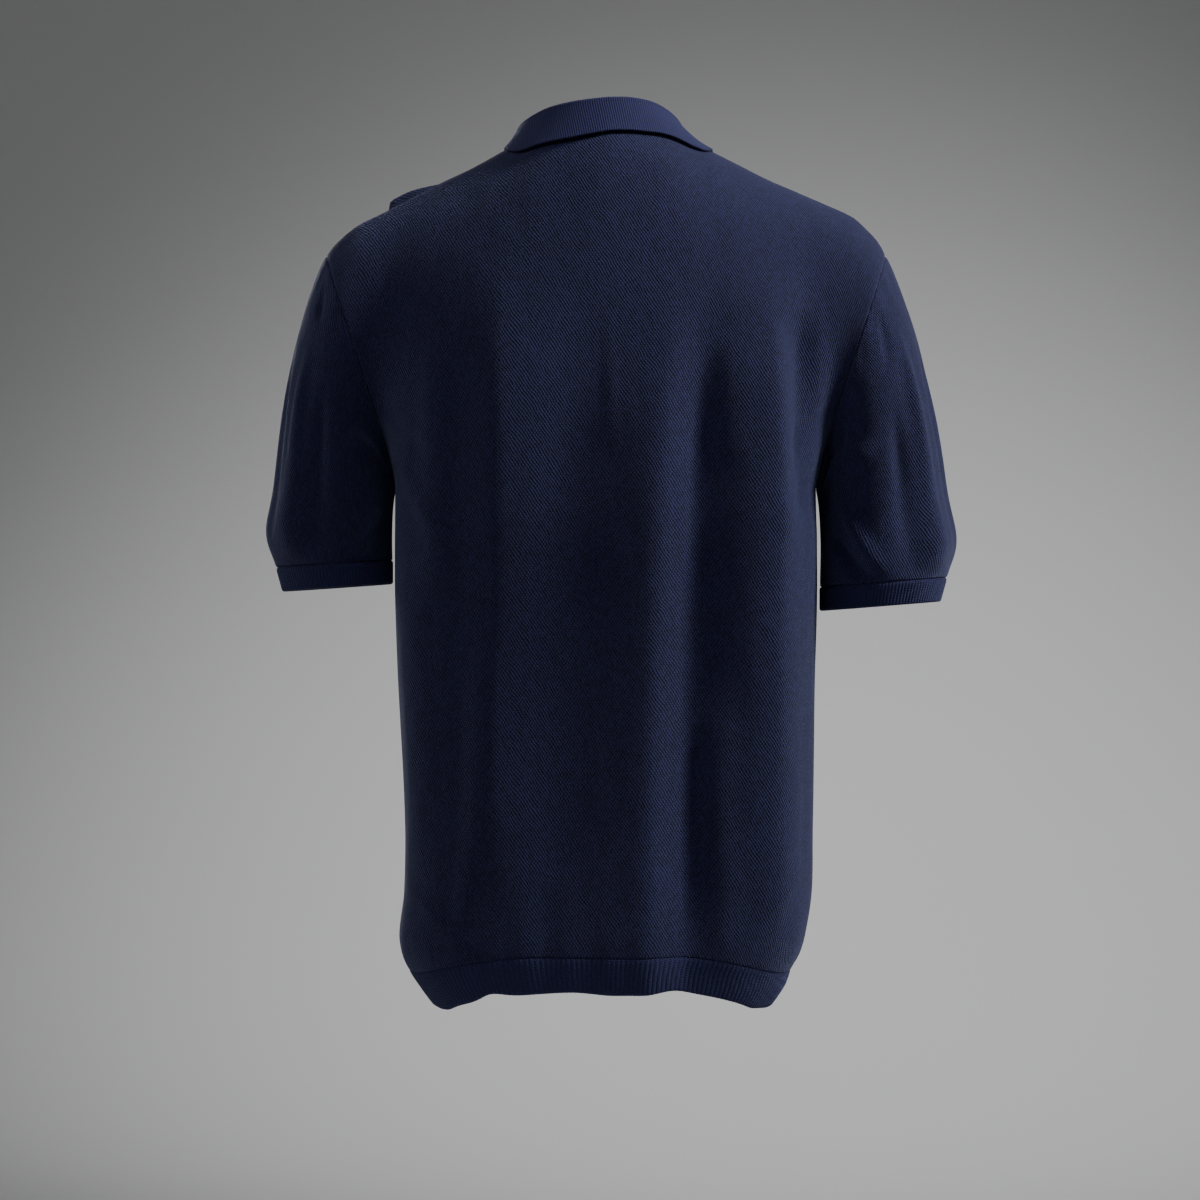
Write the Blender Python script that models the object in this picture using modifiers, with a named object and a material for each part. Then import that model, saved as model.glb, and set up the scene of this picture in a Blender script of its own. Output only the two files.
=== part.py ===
"""Knitted short-sleeved polo shirt, in the pose it has on a wearer of general build.

Metres, +Z up. The wearer faces -Y, so +X is the wearer's left and the back of the shirt faces +Y.
The origin is the middle of the neck's base, level with the highest point of the shoulders.
Each piece of cloth is a flat slab of small cells that is bent to its place, so it keeps one wall.
"""

import bisect
import math
from collections import namedtuple

import bmesh
import bpy
from mathutils import Matrix, Vector

BACK, FRONT = 1, -1
LEFT, RIGHT = 1, -1
DOWN = Vector((0, 0, -1))
UP = Vector((0, 0, 1))

# ---------------------------------------------------------------- cloth and seams
CLOTH = 0.0020
SEAM_GAP = 0.0003
RIB_WALL = 0.0016  # from the inside to a groove
RIB_RELIEF = 0.0009
RIB_PITCH = 0.0030

# ---------------------------------------------------------------- body
UNDERARM_Z = -0.278
SQUARENESS = {BACK: 3.0, FRONT: 2.35}  # of the section: 2 is an ellipse, more is squarer
SIDE_CELLS = 18  # columns from the centre to a side seam
LOWER_CELLS = 8  # rows from the hem rib to the underarm
UPPER_CELLS = 14  # rows from the underarm to the shoulder

Body = namedtuple("Body", "z left right back front")
BODY = (
    Body(-0.7050, 0.1340, 0.1300, 0.0960, 0.1040),
    Body(-0.6950, 0.1430, 0.1380, 0.0990, 0.1080),
    Body(-0.6820, 0.1530, 0.1460, 0.1020, 0.1120),
    Body(-0.6680, 0.1620, 0.1510, 0.1045, 0.1160),
    Body(-0.6560, 0.1670, 0.1580, 0.1060, 0.1190),
    Body(-0.6400, 0.1690, 0.1630, 0.1060, 0.1210),
    Body(-0.6070, 0.1650, 0.1680, 0.1035, 0.1220),
    Body(-0.5580, 0.1640, 0.1690, 0.1015, 0.1220),
    Body(-0.4920, 0.1670, 0.1700, 0.1020, 0.1230),
    Body(-0.4260, 0.1706, 0.1710, 0.1055, 0.1260),
    Body(-0.3610, 0.1725, 0.1725, 0.1115, 0.1290),
    Body(-0.3020, 0.1722, 0.1722, 0.1185, 0.1315),
    Body(-0.2780, 0.1720, 0.1720, 0.1195, 0.1320),
)

# ---------------------------------------------------------------- hem rib
HEM_RIB = 0.0300
HEM_SIDE_Z = -0.6990
HEM_MIDDLE_Z = {BACK: -0.6825, FRONT: -0.6900}
HEM_FALL_FROM, HEM_FALL_TO = 0.2, 0.7  # between these s the hem drops from the middle to the sides
HemWave = namedtuple("HemWave", "s rise width")
HEM_WAVES = {
    BACK: (HemWave(0.37, 0.0035, 0.05), HemWave(0.11, 0.0020, 0.07), HemWave(-0.22, 0.0022, 0.06)),
    FRONT: (HemWave(0.40, 0.0030, 0.10), HemWave(-0.22, 0.0025, 0.12)),
}

# ---------------------------------------------------------------- neck and shoulders
NECK_CELLS = 7  # of the side cells, those that end on the neckline
NECK_S = NECK_CELLS / SIDE_CELLS
NECK_HALF = 0.0750
NECK_DEPTH = {BACK: 0.0680, FRONT: 0.0850}
SHOULDER_HALF = 0.2290
SHOULDER_SPREAD = math.log(NECK_HALF / SHOULDER_HALF) / math.log(NECK_S)
# How the section from the underarm up to the shoulder rounds in: under 1 is fuller.
SHOULDER_POWER = 0.86
CENTRE_POWER = {BACK: 0.52, FRONT: 1.41}
POWER_SPREAD = 0.55
SIDE_CLIMB = 1.2
ARMHOLE_BULGE = {BACK: 0.0660, FRONT: 0.0540}

# The line over the shoulders. Inside the neck it only guides the panels up to the neckline.
Shoulder = namedtuple("Shoulder", "x left right")
SHOULDER = (
    Shoulder(0.0000, 0.0300, 0.0300),
    Shoulder(0.0400, 0.0230, 0.0230),
    Shoulder(0.0750, 0.0030, 0.0030),
    Shoulder(0.0870, -0.0035, -0.0025),
    Shoulder(0.1100, -0.0160, -0.0139),
    Shoulder(0.1330, -0.0268, -0.0254),
    Shoulder(0.1560, -0.0385, -0.0353),
    Shoulder(0.1790, -0.0505, -0.0451),
    Shoulder(0.2020, -0.0618, -0.0558),
    Shoulder(0.2130, -0.0700, -0.0656),
    Shoulder(0.2230, -0.0795, -0.0765),
    Shoulder(0.2290, -0.0875, -0.0875),
)

# ---------------------------------------------------------------- drape
FOLD_END = 0.22  # share of a fold's length over which it rises and fades
FOLD_FOOT = 0.45  # share of a flank's width that is soft
CREST_ROUND = 0.0040
HEM_CALM, HEM_CALM_V = 0.5, -0.70  # the rib pulls the folds in
Fold = namedtuple("Fold", "top_z low_z top_x mid_x low_x height left_width right_width")
FOLDS = {
    BACK: (
        Fold(-0.092, -0.655, 0.084, 0.085, 0.090, 0.0080, 0.032, 0.070),
        Fold(-0.125, -0.765, -0.039, -0.036, -0.032, 0.0120, 0.080, 0.036),
        Fold(-0.140, -0.765, -0.079, -0.070, -0.059, -0.0070, 0.040, 0.048),
        Fold(-0.092, -0.686, -0.139, -0.139, -0.139, 0.0090, 0.052, 0.024),
    ),
    FRONT: (
        Fold(-0.170, -0.640, 0.096, 0.088, 0.080, 0.0075, 0.034, 0.060),
        Fold(-0.240, -0.900, 0.030, 0.040, 0.052, -0.0060, 0.040, 0.044),
        Fold(-0.200, -0.900, -0.078, -0.066, -0.060, 0.0080, 0.040, 0.046),
        Fold(-0.330, -0.900, -0.112, -0.104, -0.100, -0.0060, 0.034, 0.040),
    ),
}
# One short fold of the front stands up beside the left shoulder seam.
TUCK_HEIGHT = 0.0100
TUCK_START_X, TUCK_FULL_X, TUCK_END_X, TUCK_CUT = 0.118, 0.162, 0.181, 0.009
TUCK_V, TUCK_WIDTH = 13 / UPPER_CELLS, 0.05

# ---------------------------------------------------------------- sleeves
SLEEVE_RING = 2 * UPPER_CELLS
SLEEVE_ROWS = (0.0, 0.07, 0.16, 0.28, 0.42, 0.56, 0.69, 0.80, 0.89, 0.95, 1.0)
SHOULDER_LEAD, SHOULDER_DROP = 1.0, 0.25
UNDERARM_LEAD, UNDERARM_DROP = 0.22, 1.0
LEAD_LENGTH, TRAIL_LENGTH = 0.30, 0.22
TRAIL_SPREAD = 0.16
BLOUSE, BLOUSE_AT, BLOUSE_WIDTH = 0.0075, 0.87, 0.12
CUFF_HEIGHT = 0.0200
CUFF_DEPTH = 0.0570
CUFF_Y = -0.0110
CUFF_FLARE = 0.0055

Sleeve = namedtuple("Sleeve", "name hand outer inner outer_z inner_z")
SLEEVES = (
    Sleeve("left", LEFT, 0.2655, 0.1757, -0.3624, -0.3560),
    Sleeve("right", RIGHT, 0.2747, 0.1762, -0.3706, -0.3780),
)

# ---------------------------------------------------------------- collar
COLLAR_BEND = 0.0034  # radius of its outside at the fold
COLLAR_LIFT = 0.0030  # from the panel to the outside of the leaf's edge
LEAF_FALL = 1.4  # over 1, the leaf drops soon after the fold
COLLAR_SHIFT = 0.0050  # the fold lies this far to the wearer's left
COLLAR_SKEW = 0.02  # the leaf reaches out more on the wearer's right
COLLAR_PARTING = 0.992  # share of the half neckline from the nape to the collar's end
STAND_BOW = 0.0010
STAND_PARTS = (0.45, 0.85)
LEAF_PARTS = (0.33, 0.67, 1.0)

# around: 0 at the nape, 0.5 at the shoulder, 1 at the front. The leaf's edge lies on the body at s, v,
# where v over 1 is past the line over the shoulders, on the front.
Collar = namedtuple("Collar", "around stand lean edge_s edge_v lift")
COLLAR = (
    Collar(0.00, 0.0195, 0.0075, 0.000, 0.758, 0.0020),
    Collar(0.15, 0.0212, 0.0080, 0.190, 0.766, 0.0020),
    Collar(0.30, 0.0180, 0.0095, 0.342, 0.800, 0.0015),
    Collar(0.42, 0.0142, 0.0115, 0.404, 0.895, 0.0010),
    Collar(0.50, 0.0120, 0.0120, 0.426, 0.985, 0.0010),
    Collar(0.57, 0.0122, 0.0120, 0.438, 1.125, 0.0010),
    Collar(0.65, 0.0132, 0.0110, 0.425, 1.265, 0.0010),
    Collar(0.75, 0.0155, 0.0100, 0.362, 1.415, 0.0010),
    Collar(0.86, 0.0190, 0.0095, 0.268, 1.560, 0.0012),
    Collar(1.00, 0.0210, 0.0090, 0.205, 1.640, 0.0015),
)

# ---------------------------------------------------------------- placket and buttons
PLACKET_HALF = 0.0150
PLACKET_ROW = 4  # the row of the front's upper cells where the slot starts
PLACKET_SHARE = PLACKET_ROW / UPPER_CELLS
PLACKET_EASE = 0.0025  # share of the upper rows left open under the strips
STRIP_CELLS = 4
UPPER_STRIP_OUT = 0.0004
UNDER_STRIP_OUT = -0.0019
UNDER_STRIP_WALL = 0.0016

BUTTON_RADIUS = 0.0055
BUTTON_SIDES = 16
BUTTON_THICK = 0.0028
BUTTON_WELL = 0.0034  # radius of the hollow in its middle
BUTTON_DISH = 0.0008
BUTTON_ROUND = 0.0006
BUTTON_SEAT = 0.0006
BUTTON_HOLE = 0.0008
BUTTON_HOLE_OUT = 0.0015
Button = namedtuple("Button", "name share")
BUTTONS = (Button("button_top", 0.93), Button("button_middle", 0.64), Button("button_bottom", 0.36))

SMALL = 0.005  # step along a surface for its normal

Finish = namedtuple("Finish", "color roughness")
NAVY_KNIT = Finish((0.016, 0.018, 0.050, 1), 0.90)
NAVY_RIB = Finish((0.014, 0.016, 0.045, 1), 0.90)
DARK_BUTTON = Finish((0.010, 0.011, 0.022, 1), 0.30)


# ---------------------------------------------------------------- small maths
def lerp(a, b, t):
    return a + (b - a) * t


def ease(t):
    t = min(max(t, 0.0), 1.0)
    return t * t * (3 - 2 * t)


def bump(distance, width):
    return math.exp(-((distance / width) ** 2))


def ridge(distance, width):
    """1 at a slightly rounded crest, with straight flanks that end softly at the width."""
    part = 1 - (math.hypot(distance, CREST_ROUND) - CREST_ROUND) / width
    if part <= 0:
        return 0.0
    return (part * part / (2 * FOLD_FOOT) if part < FOLD_FOOT else part - FOLD_FOOT / 2) / (1 - FOLD_FOOT / 2)


def read(rows, place, column):
    """A column of a table at a place along its first column, on a smooth curve through its rows."""
    keys = [row[0] for row in rows]
    values = [getattr(row, column) for row in rows]
    place = min(max(place, keys[0]), keys[-1])
    i = min(max(bisect.bisect_right(keys, place) - 1, 0), len(keys) - 2)

    def slope(k):
        low, high = max(k - 1, 0), min(k + 1, len(keys) - 1)
        return (values[high] - values[low]) / (keys[high] - keys[low])

    step = keys[i + 1] - keys[i]
    t = (place - keys[i]) / step
    start, end = slope(i) * step, slope(i + 1) * step
    rise = values[i + 1] - values[i]
    return values[i] + start * t + (3 * rise - 2 * start - end) * t * t + (start + end - 2 * rise) * t**3


# ---------------------------------------------------------------- the body's surface
def hem_line(side, s):
    fall = ease((abs(s) - HEM_FALL_FROM) / (HEM_FALL_TO - HEM_FALL_FROM))
    return lerp(HEM_MIDDLE_Z[side], HEM_SIDE_Z, fall)


def hem_z(side, s):
    return hem_line(side, s) + sum(wave.rise * bump(s - wave.s, wave.width) for wave in HEM_WAVES[side])


def rib_top_z(side, s):
    return hem_line(side, s) + HEM_RIB


def shoulder_line(s):
    x = SHOULDER_HALF * abs(s) ** SHOULDER_SPREAD
    return Vector((math.copysign(x, s), 0, read(SHOULDER, x, "left" if s >= 0 else "right")))


def torso(side, s, v):
    """The smooth outside of the body. s runs from -1 at the right side seam to 1 at the left one.
    v is -1 where the hem rib starts, 0 at the underarm and 1 on the line over the shoulders."""
    if abs(s) > 1 or v > 1:
        inside = torso(side, math.copysign(min(abs(s), 2 - abs(s)), s), min(v, 2 - v))
        return Vector((inside.x, -inside.y, inside.z))
    z = UNDERARM_Z if v > 0 else lerp(UNDERARM_Z, rib_top_z(side, s), -v)
    turn = math.radians(90 * abs(s))
    half = read(BODY, z, "left" if s >= 0 else "right")
    depth = read(BODY, z, "back" if side == BACK else "front")
    wide, deep = math.sin(turn), max(math.cos(turn), 0.0)
    reach = (wide ** SQUARENESS[side] + deep ** SQUARENESS[side]) ** (-1 / SQUARENESS[side])
    x = math.copysign(half * wide * reach, s)
    y = side * depth * deep * reach
    if v <= 0:
        return Vector((x, y, z))
    rise = math.radians(90 * v)
    top = shoulder_line(s)
    power = lerp(CENTRE_POWER[side], SHOULDER_POWER, ease(abs(s) / POWER_SPREAD))
    bulge = side * ARMHOLE_BULGE[side] * s * s * math.sin(2 * rise)
    return Vector((
        lerp(x, top.x, math.sin(rise) ** SIDE_CLIMB),
        y * max(math.cos(rise), 0.0) ** power + bulge,
        lerp(z, top.z, math.sin(rise)),
    ))


def neck_v(side, s):
    """Where a column meets the neckline, an oval seen from above, or the shoulder seam."""
    if abs(s) >= NECK_S:
        return 1.0
    low, high = 0.0, 1.0
    for _ in range(24):
        middle = (low + high) / 2
        point = torso(side, s, middle)
        inside = (point.x / NECK_HALF) ** 2 + (point.y / NECK_DEPTH[side]) ** 2 < 1
        low, high = (low, middle) if inside else (middle, high)
    return high


def neck_s(part):
    """Columns spread evenly around the neckline: part is 0 at the centre and 1 or -1 at the shoulder."""
    return NECK_S * math.sin(math.radians(90 * part))


def panel_place(side, column, row):
    """The s and v of a cell's corner. Columns bend to stay even around the neck, rows end on the neckline."""
    s = (column - SIDE_CELLS) / SIDE_CELLS
    share = (row - LOWER_CELLS) / (LOWER_CELLS if row < LOWER_CELLS else UPPER_CELLS)
    if share > 0 and abs(s) < NECK_S:
        s = lerp(s, neck_s(s / NECK_S), share)
    if side == FRONT and abs(column - SIDE_CELLS) == 1:
        v = max(share, 0) * neck_v(side, 0) + min(share, 0)
        straight = s_at_x(side, math.copysign(PLACKET_HALF, s), v)
        s = lerp(s, straight, ease(row / (LOWER_CELLS + PLACKET_ROW)))
    return s, share * neck_v(side, s) if share > 0 else share


def armhole_normal(side, hand, v):
    """Shared by the body and the sleeve along their seam: down at the underarm, out at the shoulder."""
    rise = math.radians(90 * v)
    high, low, across = math.sin(rise) ** 2, math.cos(rise) ** 2, math.sin(2 * rise)
    return Vector((hand * (0.83 * high + 0.12 * across), side * 0.95 * across, 0.55 * high - low)).normalized()


def torso_normal(side, s, v):
    if abs(s) == 1 and v >= 0:
        return armhole_normal(side, math.copysign(1, s), v)
    across = torso(side, s + SMALL, v) - torso(side, s - SMALL, v)
    upward = torso(side, s, v + SMALL) - torso(side, s, v - SMALL)
    return across.cross(upward).normalized() * -side


def drape(side, s, v):
    """How far the folds stand out of the smooth body. They fade at the seams and run into the hem."""
    place = torso(side, s, v)
    out = 0.0
    for fold in FOLDS[side]:
        t = (fold.top_z - place.z) / (fold.top_z - fold.low_z)
        crest = lerp(fold.top_x, fold.low_x, t) + (2 * fold.mid_x - fold.top_x - fold.low_x) * 2 * t * (1 - t)
        width = fold.left_width if place.x > crest else fold.right_width
        length = ease(t / FOLD_END) * ease((1 - t) / FOLD_END)
        out += fold.height * length * ridge(place.x - crest, width)
    out *= (1 - s**8) * (1 - max(v, 0) ** 6) * lerp(1, HEM_CALM, ease((HEM_CALM_V - v) / (1 + HEM_CALM_V)))
    if side == FRONT:
        along = ease((place.x - TUCK_START_X) / (TUCK_FULL_X - TUCK_START_X))
        along *= ease((TUCK_END_X - place.x) / TUCK_CUT)
        out += TUCK_HEIGHT * along * bump(v - TUCK_V, TUCK_WIDTH) * ease((1 - v) * UPPER_CELLS)
    return out


def body_point(side, s, v, out=0.0):
    """A point of the draped body, moved out of it by out, half a seam gap from the other panel."""
    point = torso(side, s, v) + torso_normal(side, s, v) * (drape(side, s, v) + out)
    point.y += side * SEAM_GAP / 2
    return point


def s_at_x(side, x, v):
    low, high = -0.5, 0.5
    for _ in range(30):
        middle = (low + high) / 2
        if torso(side, middle, v).x < x:
            low = middle
        else:
            high = middle
    return (low + high) / 2


# ---------------------------------------------------------------- the sleeves' surface
def armhole_seam(hand, turn):
    """Point, outward normal and way into the sleeve. turn is 0 at the shoulder, 90 at the back, 180 below."""
    turn %= 360
    side = BACK if turn <= 180 else FRONT

    def at(angle):
        angle %= 360
        return torso(BACK if angle <= 180 else FRONT, hand, abs(angle - 180) / 180)

    normal = armhole_normal(side, hand, abs(turn - 180) / 180)
    along = at(turn + 1) - at(turn - 1)
    into = along.cross(normal).normalized() * hand
    return at(turn), normal, into


def cuff_ring(row, turn, down):
    """down is 0 at the top of the cuff's rib and 1 at its lower edge."""
    angle = math.radians(turn)
    toward_outer = (1 + math.cos(angle)) / 2
    flare = CUFF_FLARE * (1 - down)
    return Vector((
        row.hand * (lerp(row.inner, row.outer, toward_outer) + flare * toward_outer),
        CUFF_Y + (CUFF_DEPTH + flare) * math.sin(angle),
        lerp(row.inner_z, row.outer_z, toward_outer) + CUFF_HEIGHT * (1 - down),
    ))


def sleeve(row, turn, t):
    """The sleeve's outside: t is 0 at the armhole, 1 where the cuff's rib starts and 2 at its lower edge."""
    if t >= 1:
        return cuff_ring(row, turn, t - 1)
    start, _, into = armhole_seam(row.hand, turn)
    end = cuff_ring(row, turn, 0)
    angle = math.radians(turn)
    below = (1 - math.cos(angle)) / 2
    outward = Vector((row.hand * math.cos(angle), math.sin(angle), 0))
    lead = into * lerp(SHOULDER_LEAD, UNDERARM_LEAD, below) + DOWN * lerp(SHOULDER_DROP, UNDERARM_DROP, below)
    trail = UP + outward * TRAIL_SPREAD * (1 - below)
    span = (end - start).length
    first = start + lead.normalized() * span * LEAD_LENGTH
    second = end + trail.normalized() * span * TRAIL_LENGTH
    point = (
        start * (1 - t) ** 3 + first * 3 * t * (1 - t) ** 2 + second * 3 * t * t * (1 - t) + end * t**3
    )
    return point + outward * BLOUSE * (1 - below) * bump(t - BLOUSE_AT, BLOUSE_WIDTH) * (1 - t**12)


def sleeve_normal(row, turn, t):
    if t == 0:
        return armhole_seam(row.hand, turn)[1]
    around = sleeve(row, turn + 1, t) - sleeve(row, turn - 1, t)
    downward = sleeve(row, turn, min(t + SMALL, 2)) - sleeve(row, turn, max(t - SMALL, 0))
    return around.cross(downward).normalized() * -row.hand


# ---------------------------------------------------------------- the collar's surface
def neck_seam(around):
    """The neckline at around, from -1 and 1 at the front to 0 at the nape: side, s, v."""
    side = BACK if abs(around) <= 0.5 else FRONT
    s = neck_s(math.copysign(min(abs(around), 1 - abs(around)) * 2, around))
    return side, s, neck_v(side, s)


def collar_bed(around, part):
    """The leaf's place on the body, moved out: part is 0 above the neck seam and 1 at the leaf's edge."""
    side, seam_s, seam_v = neck_seam(around)
    edge_s = read(COLLAR, abs(around), "edge_s") * (1 - math.copysign(COLLAR_SKEW, around))
    s = lerp(seam_s, math.copysign(edge_s, around), part)
    v = lerp(seam_v if side == BACK else 2 - seam_v, read(COLLAR, abs(around), "edge_v"), part)
    side, v = (BACK, v) if v < 1 else (FRONT, 2 - v)
    return body_point(side, s, v, COLLAR_LIFT + read(COLLAR, abs(around), "lift") * part)


def collar_section(around):
    """Points of the collar's right side, from the neck seam up the stand, over the fold and down the leaf."""
    here = neck_seam(around)
    normal = torso_normal(*here)
    along = torso(*neck_seam(around + SMALL)) - torso(*neck_seam(around - SMALL))
    into = along.cross(normal).normalized()
    outward = UP.cross(along).normalized()
    seam = torso(*here) - normal * CLOTH
    base = seam + into * SEAM_GAP
    base.y += here[0] * SEAM_GAP / 2
    lean = read(COLLAR, abs(around), "lean")
    rise = read(COLLAR, abs(around), "stand")
    top = seam - outward * lean + UP * rise + Vector((COLLAR_SHIFT, 0, 0))
    centre = top + outward * COLLAR_BEND
    points = [base] + [base.lerp(top, part) - outward * STAND_BOW * part for part in STAND_PARTS] + [top]
    for degrees in (45, 90, 135, 180):
        angle = math.radians(degrees)
        points.append(centre + (UP * math.sin(angle) - outward * math.cos(angle)) * COLLAR_BEND)
    stand_off = points[-1] - collar_bed(around, 0)
    for part in LEAF_PARTS:
        points.append(collar_bed(around, part) + stand_off * (1 - part) ** LEAF_FALL)
    return points


# ---------------------------------------------------------------- slabs, tubes and objects
def new_object(name, bm, finish, collection):
    mesh = bpy.data.meshes.new(name)
    bmesh.ops.recalc_face_normals(bm, faces=bm.faces)
    if bm.calc_volume(signed=True) < 0:
        bmesh.ops.reverse_faces(bm, faces=bm.faces)
    bm.to_mesh(mesh)
    bm.free()
    mesh.shade_smooth()
    mesh.set_sharp_from_angle(angle=math.radians(40))
    material = bpy.data.materials.new(name)
    material.use_nodes = True
    shader = material.node_tree.nodes["Principled BSDF"]
    shader.inputs["Base Color"].default_value = finish.color
    shader.inputs["Roughness"].default_value = finish.roughness
    mesh.materials.append(material)
    obj = bpy.data.objects.new(name, mesh)
    collection.objects.link(obj)
    return obj


def flat_slab(columns, rows, left_out=()):
    """A slab of cells. A vertex at (column, row, 0) is on the right side, and one at -1 on the wrong side."""
    bm = bmesh.new()
    bmesh.ops.create_grid(bm, x_segments=columns, y_segments=rows, size=1)
    for vert in bm.verts:
        vert.co.x = round((vert.co.x + 1) / 2 * columns)
        vert.co.y = round((vert.co.y + 1) / 2 * rows)
    gone = [
        face for face in bm.faces
        if (int(face.calc_center_median().x), int(face.calc_center_median().y)) in left_out
    ]
    bmesh.ops.delete(bm, geom=gone, context="FACES")
    wall = bmesh.ops.extrude_face_region(bm, geom=bm.faces[:], use_keep_orig=True)
    for vert in wall["geom"]:
        if isinstance(vert, bmesh.types.BMVert):
            vert.co.z = -1
    return bm


def round_tube(columns, rows):
    """A tube of cells, closed around. Its vertices get the same flat places as a slab's."""
    bm = bmesh.new()
    outline = [(1.0, row) for row in range(rows + 1)] + [(0.5, row) for row in range(rows, -1, -1)]
    verts = [bm.verts.new((radius, 0, row)) for radius, row in outline]
    edges = [bm.edges.new((vert, verts[i - 1])) for i, vert in enumerate(verts)]
    bmesh.ops.spin(bm, geom=verts + edges, axis=UP, cent=(0, 0, 0), angle=2 * math.pi, steps=columns, use_merge=True)
    for vert in bm.verts:
        column = round(math.atan2(vert.co.y, vert.co.x) / (2 * math.pi) * columns) % columns
        layer = 0 if vert.co.xy.length > 0.75 else -1
        vert.co = (column, vert.co.z, layer)
    return bm


def plain_inside(bm):
    """Takes the odd columns out of the wrong side, so that ribs are raised over a plain inside."""
    odd = [
        edge for edge in bm.edges
        if all(round(vert.co.x) % 2 for vert in edge.verts) and min(vert.co.z for vert in edge.verts) < 0
    ]
    bmesh.ops.dissolve_edges(bm, edges=odd, use_verts=True)


def bend(bm, place):
    for vert in bm.verts:
        column, row, layer = round(vert.co.x), round(vert.co.y), round(vert.co.z)
        vert.co = place(column, row, layer)


# ---------------------------------------------------------------- pieces
def make_panel(name, side, collection):
    columns, rows = 2 * SIDE_CELLS, LOWER_CELLS + UPPER_CELLS
    slot = ()
    if side == FRONT:
        first = LOWER_CELLS + PLACKET_ROW
        slot = {(column, row) for column in (SIDE_CELLS - 1, SIDE_CELLS) for row in range(first, rows)}

    def place(column, row, layer):
        return body_point(side, *panel_place(side, column, row), CLOTH * layer)

    bm = flat_slab(columns, rows, slot)
    bend(bm, place)
    new_object(name, bm, NAVY_KNIT, collection)


def hem_ribs(side):
    steps = 200
    places = [torso(side, lerp(-1, 1, i / steps), -1.1) for i in range(steps + 1)]
    length = sum((b - a).length for a, b in zip(places, places[1:]))
    return round(length / RIB_PITCH)


def make_hem_rib(name, side, collection):
    columns = 2 * hem_ribs(side)

    def place(column, row, layer):
        s = lerp(-1, 1, column / columns)
        top, bottom = rib_top_z(side, s), hem_z(side, s)
        v = -1 - (1 - row) * (top - bottom) / (UNDERARM_Z - top)
        raised = RIB_RELIEF if column % 2 else 0
        out = raised + RIB_WALL - CLOTH if layer == 0 else -CLOTH
        point = body_point(side, s, v, out)
        point.z -= row * SEAM_GAP
        return point

    bm = flat_slab(columns, 1)
    plain_inside(bm)
    bend(bm, place)
    new_object(name, bm, NAVY_RIB, collection)


def make_sleeve(row, collection):
    def place(column, ring, layer):
        turn, t = 360 * column / SLEEVE_RING, SLEEVE_ROWS[ring]
        point = sleeve(row, turn, t) + sleeve_normal(row, turn, t) * CLOTH * layer
        if ring == 0:
            point += armhole_seam(row.hand, turn)[2] * SEAM_GAP
        if ring == len(SLEEVE_ROWS) - 1:
            point.z += SEAM_GAP
        return point

    bm = round_tube(SLEEVE_RING, len(SLEEVE_ROWS) - 1)
    bend(bm, place)
    new_object(f"sleeve_{row.name}", bm, NAVY_KNIT, collection)


def make_cuff(row, collection):
    steps = 200
    places = [cuff_ring(row, 360 * i / steps, 0.5) for i in range(steps + 1)]
    length = sum((b - a).length for a, b in zip(places, places[1:]))
    columns = 2 * round(length / RIB_PITCH)

    def place(column, ring, layer):
        turn = 360 * column / columns
        raised = RIB_RELIEF if column % 2 else 0
        out = raised + RIB_WALL - CLOTH if layer == 0 else -CLOTH
        return sleeve(row, turn, 1 + ring) + sleeve_normal(row, turn, 1 + ring) * out

    bm = round_tube(columns, 1)
    plain_inside(bm)
    bend(bm, place)
    new_object(f"cuff_{row.name}", bm, NAVY_RIB, collection)


def make_collar(collection):
    half = 2 * NECK_CELLS
    rows = len(collar_section(0)) - 1
    slot_s = s_at_x(FRONT, PLACKET_HALF, neck_v(FRONT, 0))
    slot_around = 1 - math.degrees(math.asin(slot_s / NECK_S)) / 180

    def around(column):
        """The collar's columns meet those of the panels, and its last two the slot's edges and the parting."""
        steps = abs(column - half)
        part = {half: COLLAR_PARTING, half - 1: slot_around}.get(steps, steps / half)
        return math.copysign(part, column - half)

    def place(column, row, layer):
        here = around(column)
        points = collar_section(here)
        if row == 0:
            normal = -torso_normal(*neck_seam(here))
        else:
            along = collar_section(here + SMALL)[row] - collar_section(here - SMALL)[row]
            onward = points[min(row + 1, rows)] - points[row - 1]
            normal = along.cross(onward).normalized()
        return points[row] + normal * CLOTH * layer

    bm = flat_slab(2 * half, rows)
    bend(bm, place)
    new_object("collar", bm, NAVY_RIB, collection)


def make_strip(name, out, wall, collection):
    """One placket strip, in the front's slot."""
    rows = UPPER_CELLS - PLACKET_ROW

    def place(column, row, layer):
        share = lerp(PLACKET_SHARE + PLACKET_EASE, 1 - PLACKET_EASE / 2, row / rows)
        x = (column / STRIP_CELLS * 2 - 1) * (PLACKET_HALF - SEAM_GAP)
        s = s_at_x(FRONT, x, share * neck_v(FRONT, 0))
        return body_point(FRONT, s, share * neck_v(FRONT, s), out + wall * layer)

    bm = flat_slab(STRIP_CELLS, rows)
    bend(bm, place)
    new_object(name, bm, NAVY_RIB, collection)


def button_profile():
    """Half section of a button, from its outside's middle over the rim to its back's middle."""
    return (
        (0, BUTTON_THICK - BUTTON_DISH),
        (BUTTON_WELL, BUTTON_THICK - BUTTON_DISH),
        (BUTTON_WELL + BUTTON_DISH, BUTTON_THICK),
        (BUTTON_RADIUS - BUTTON_ROUND, BUTTON_THICK),
        (BUTTON_RADIUS, BUTTON_THICK / 2),
        (BUTTON_RADIUS - BUTTON_ROUND, 0),
        (0, 0),
    )


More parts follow.
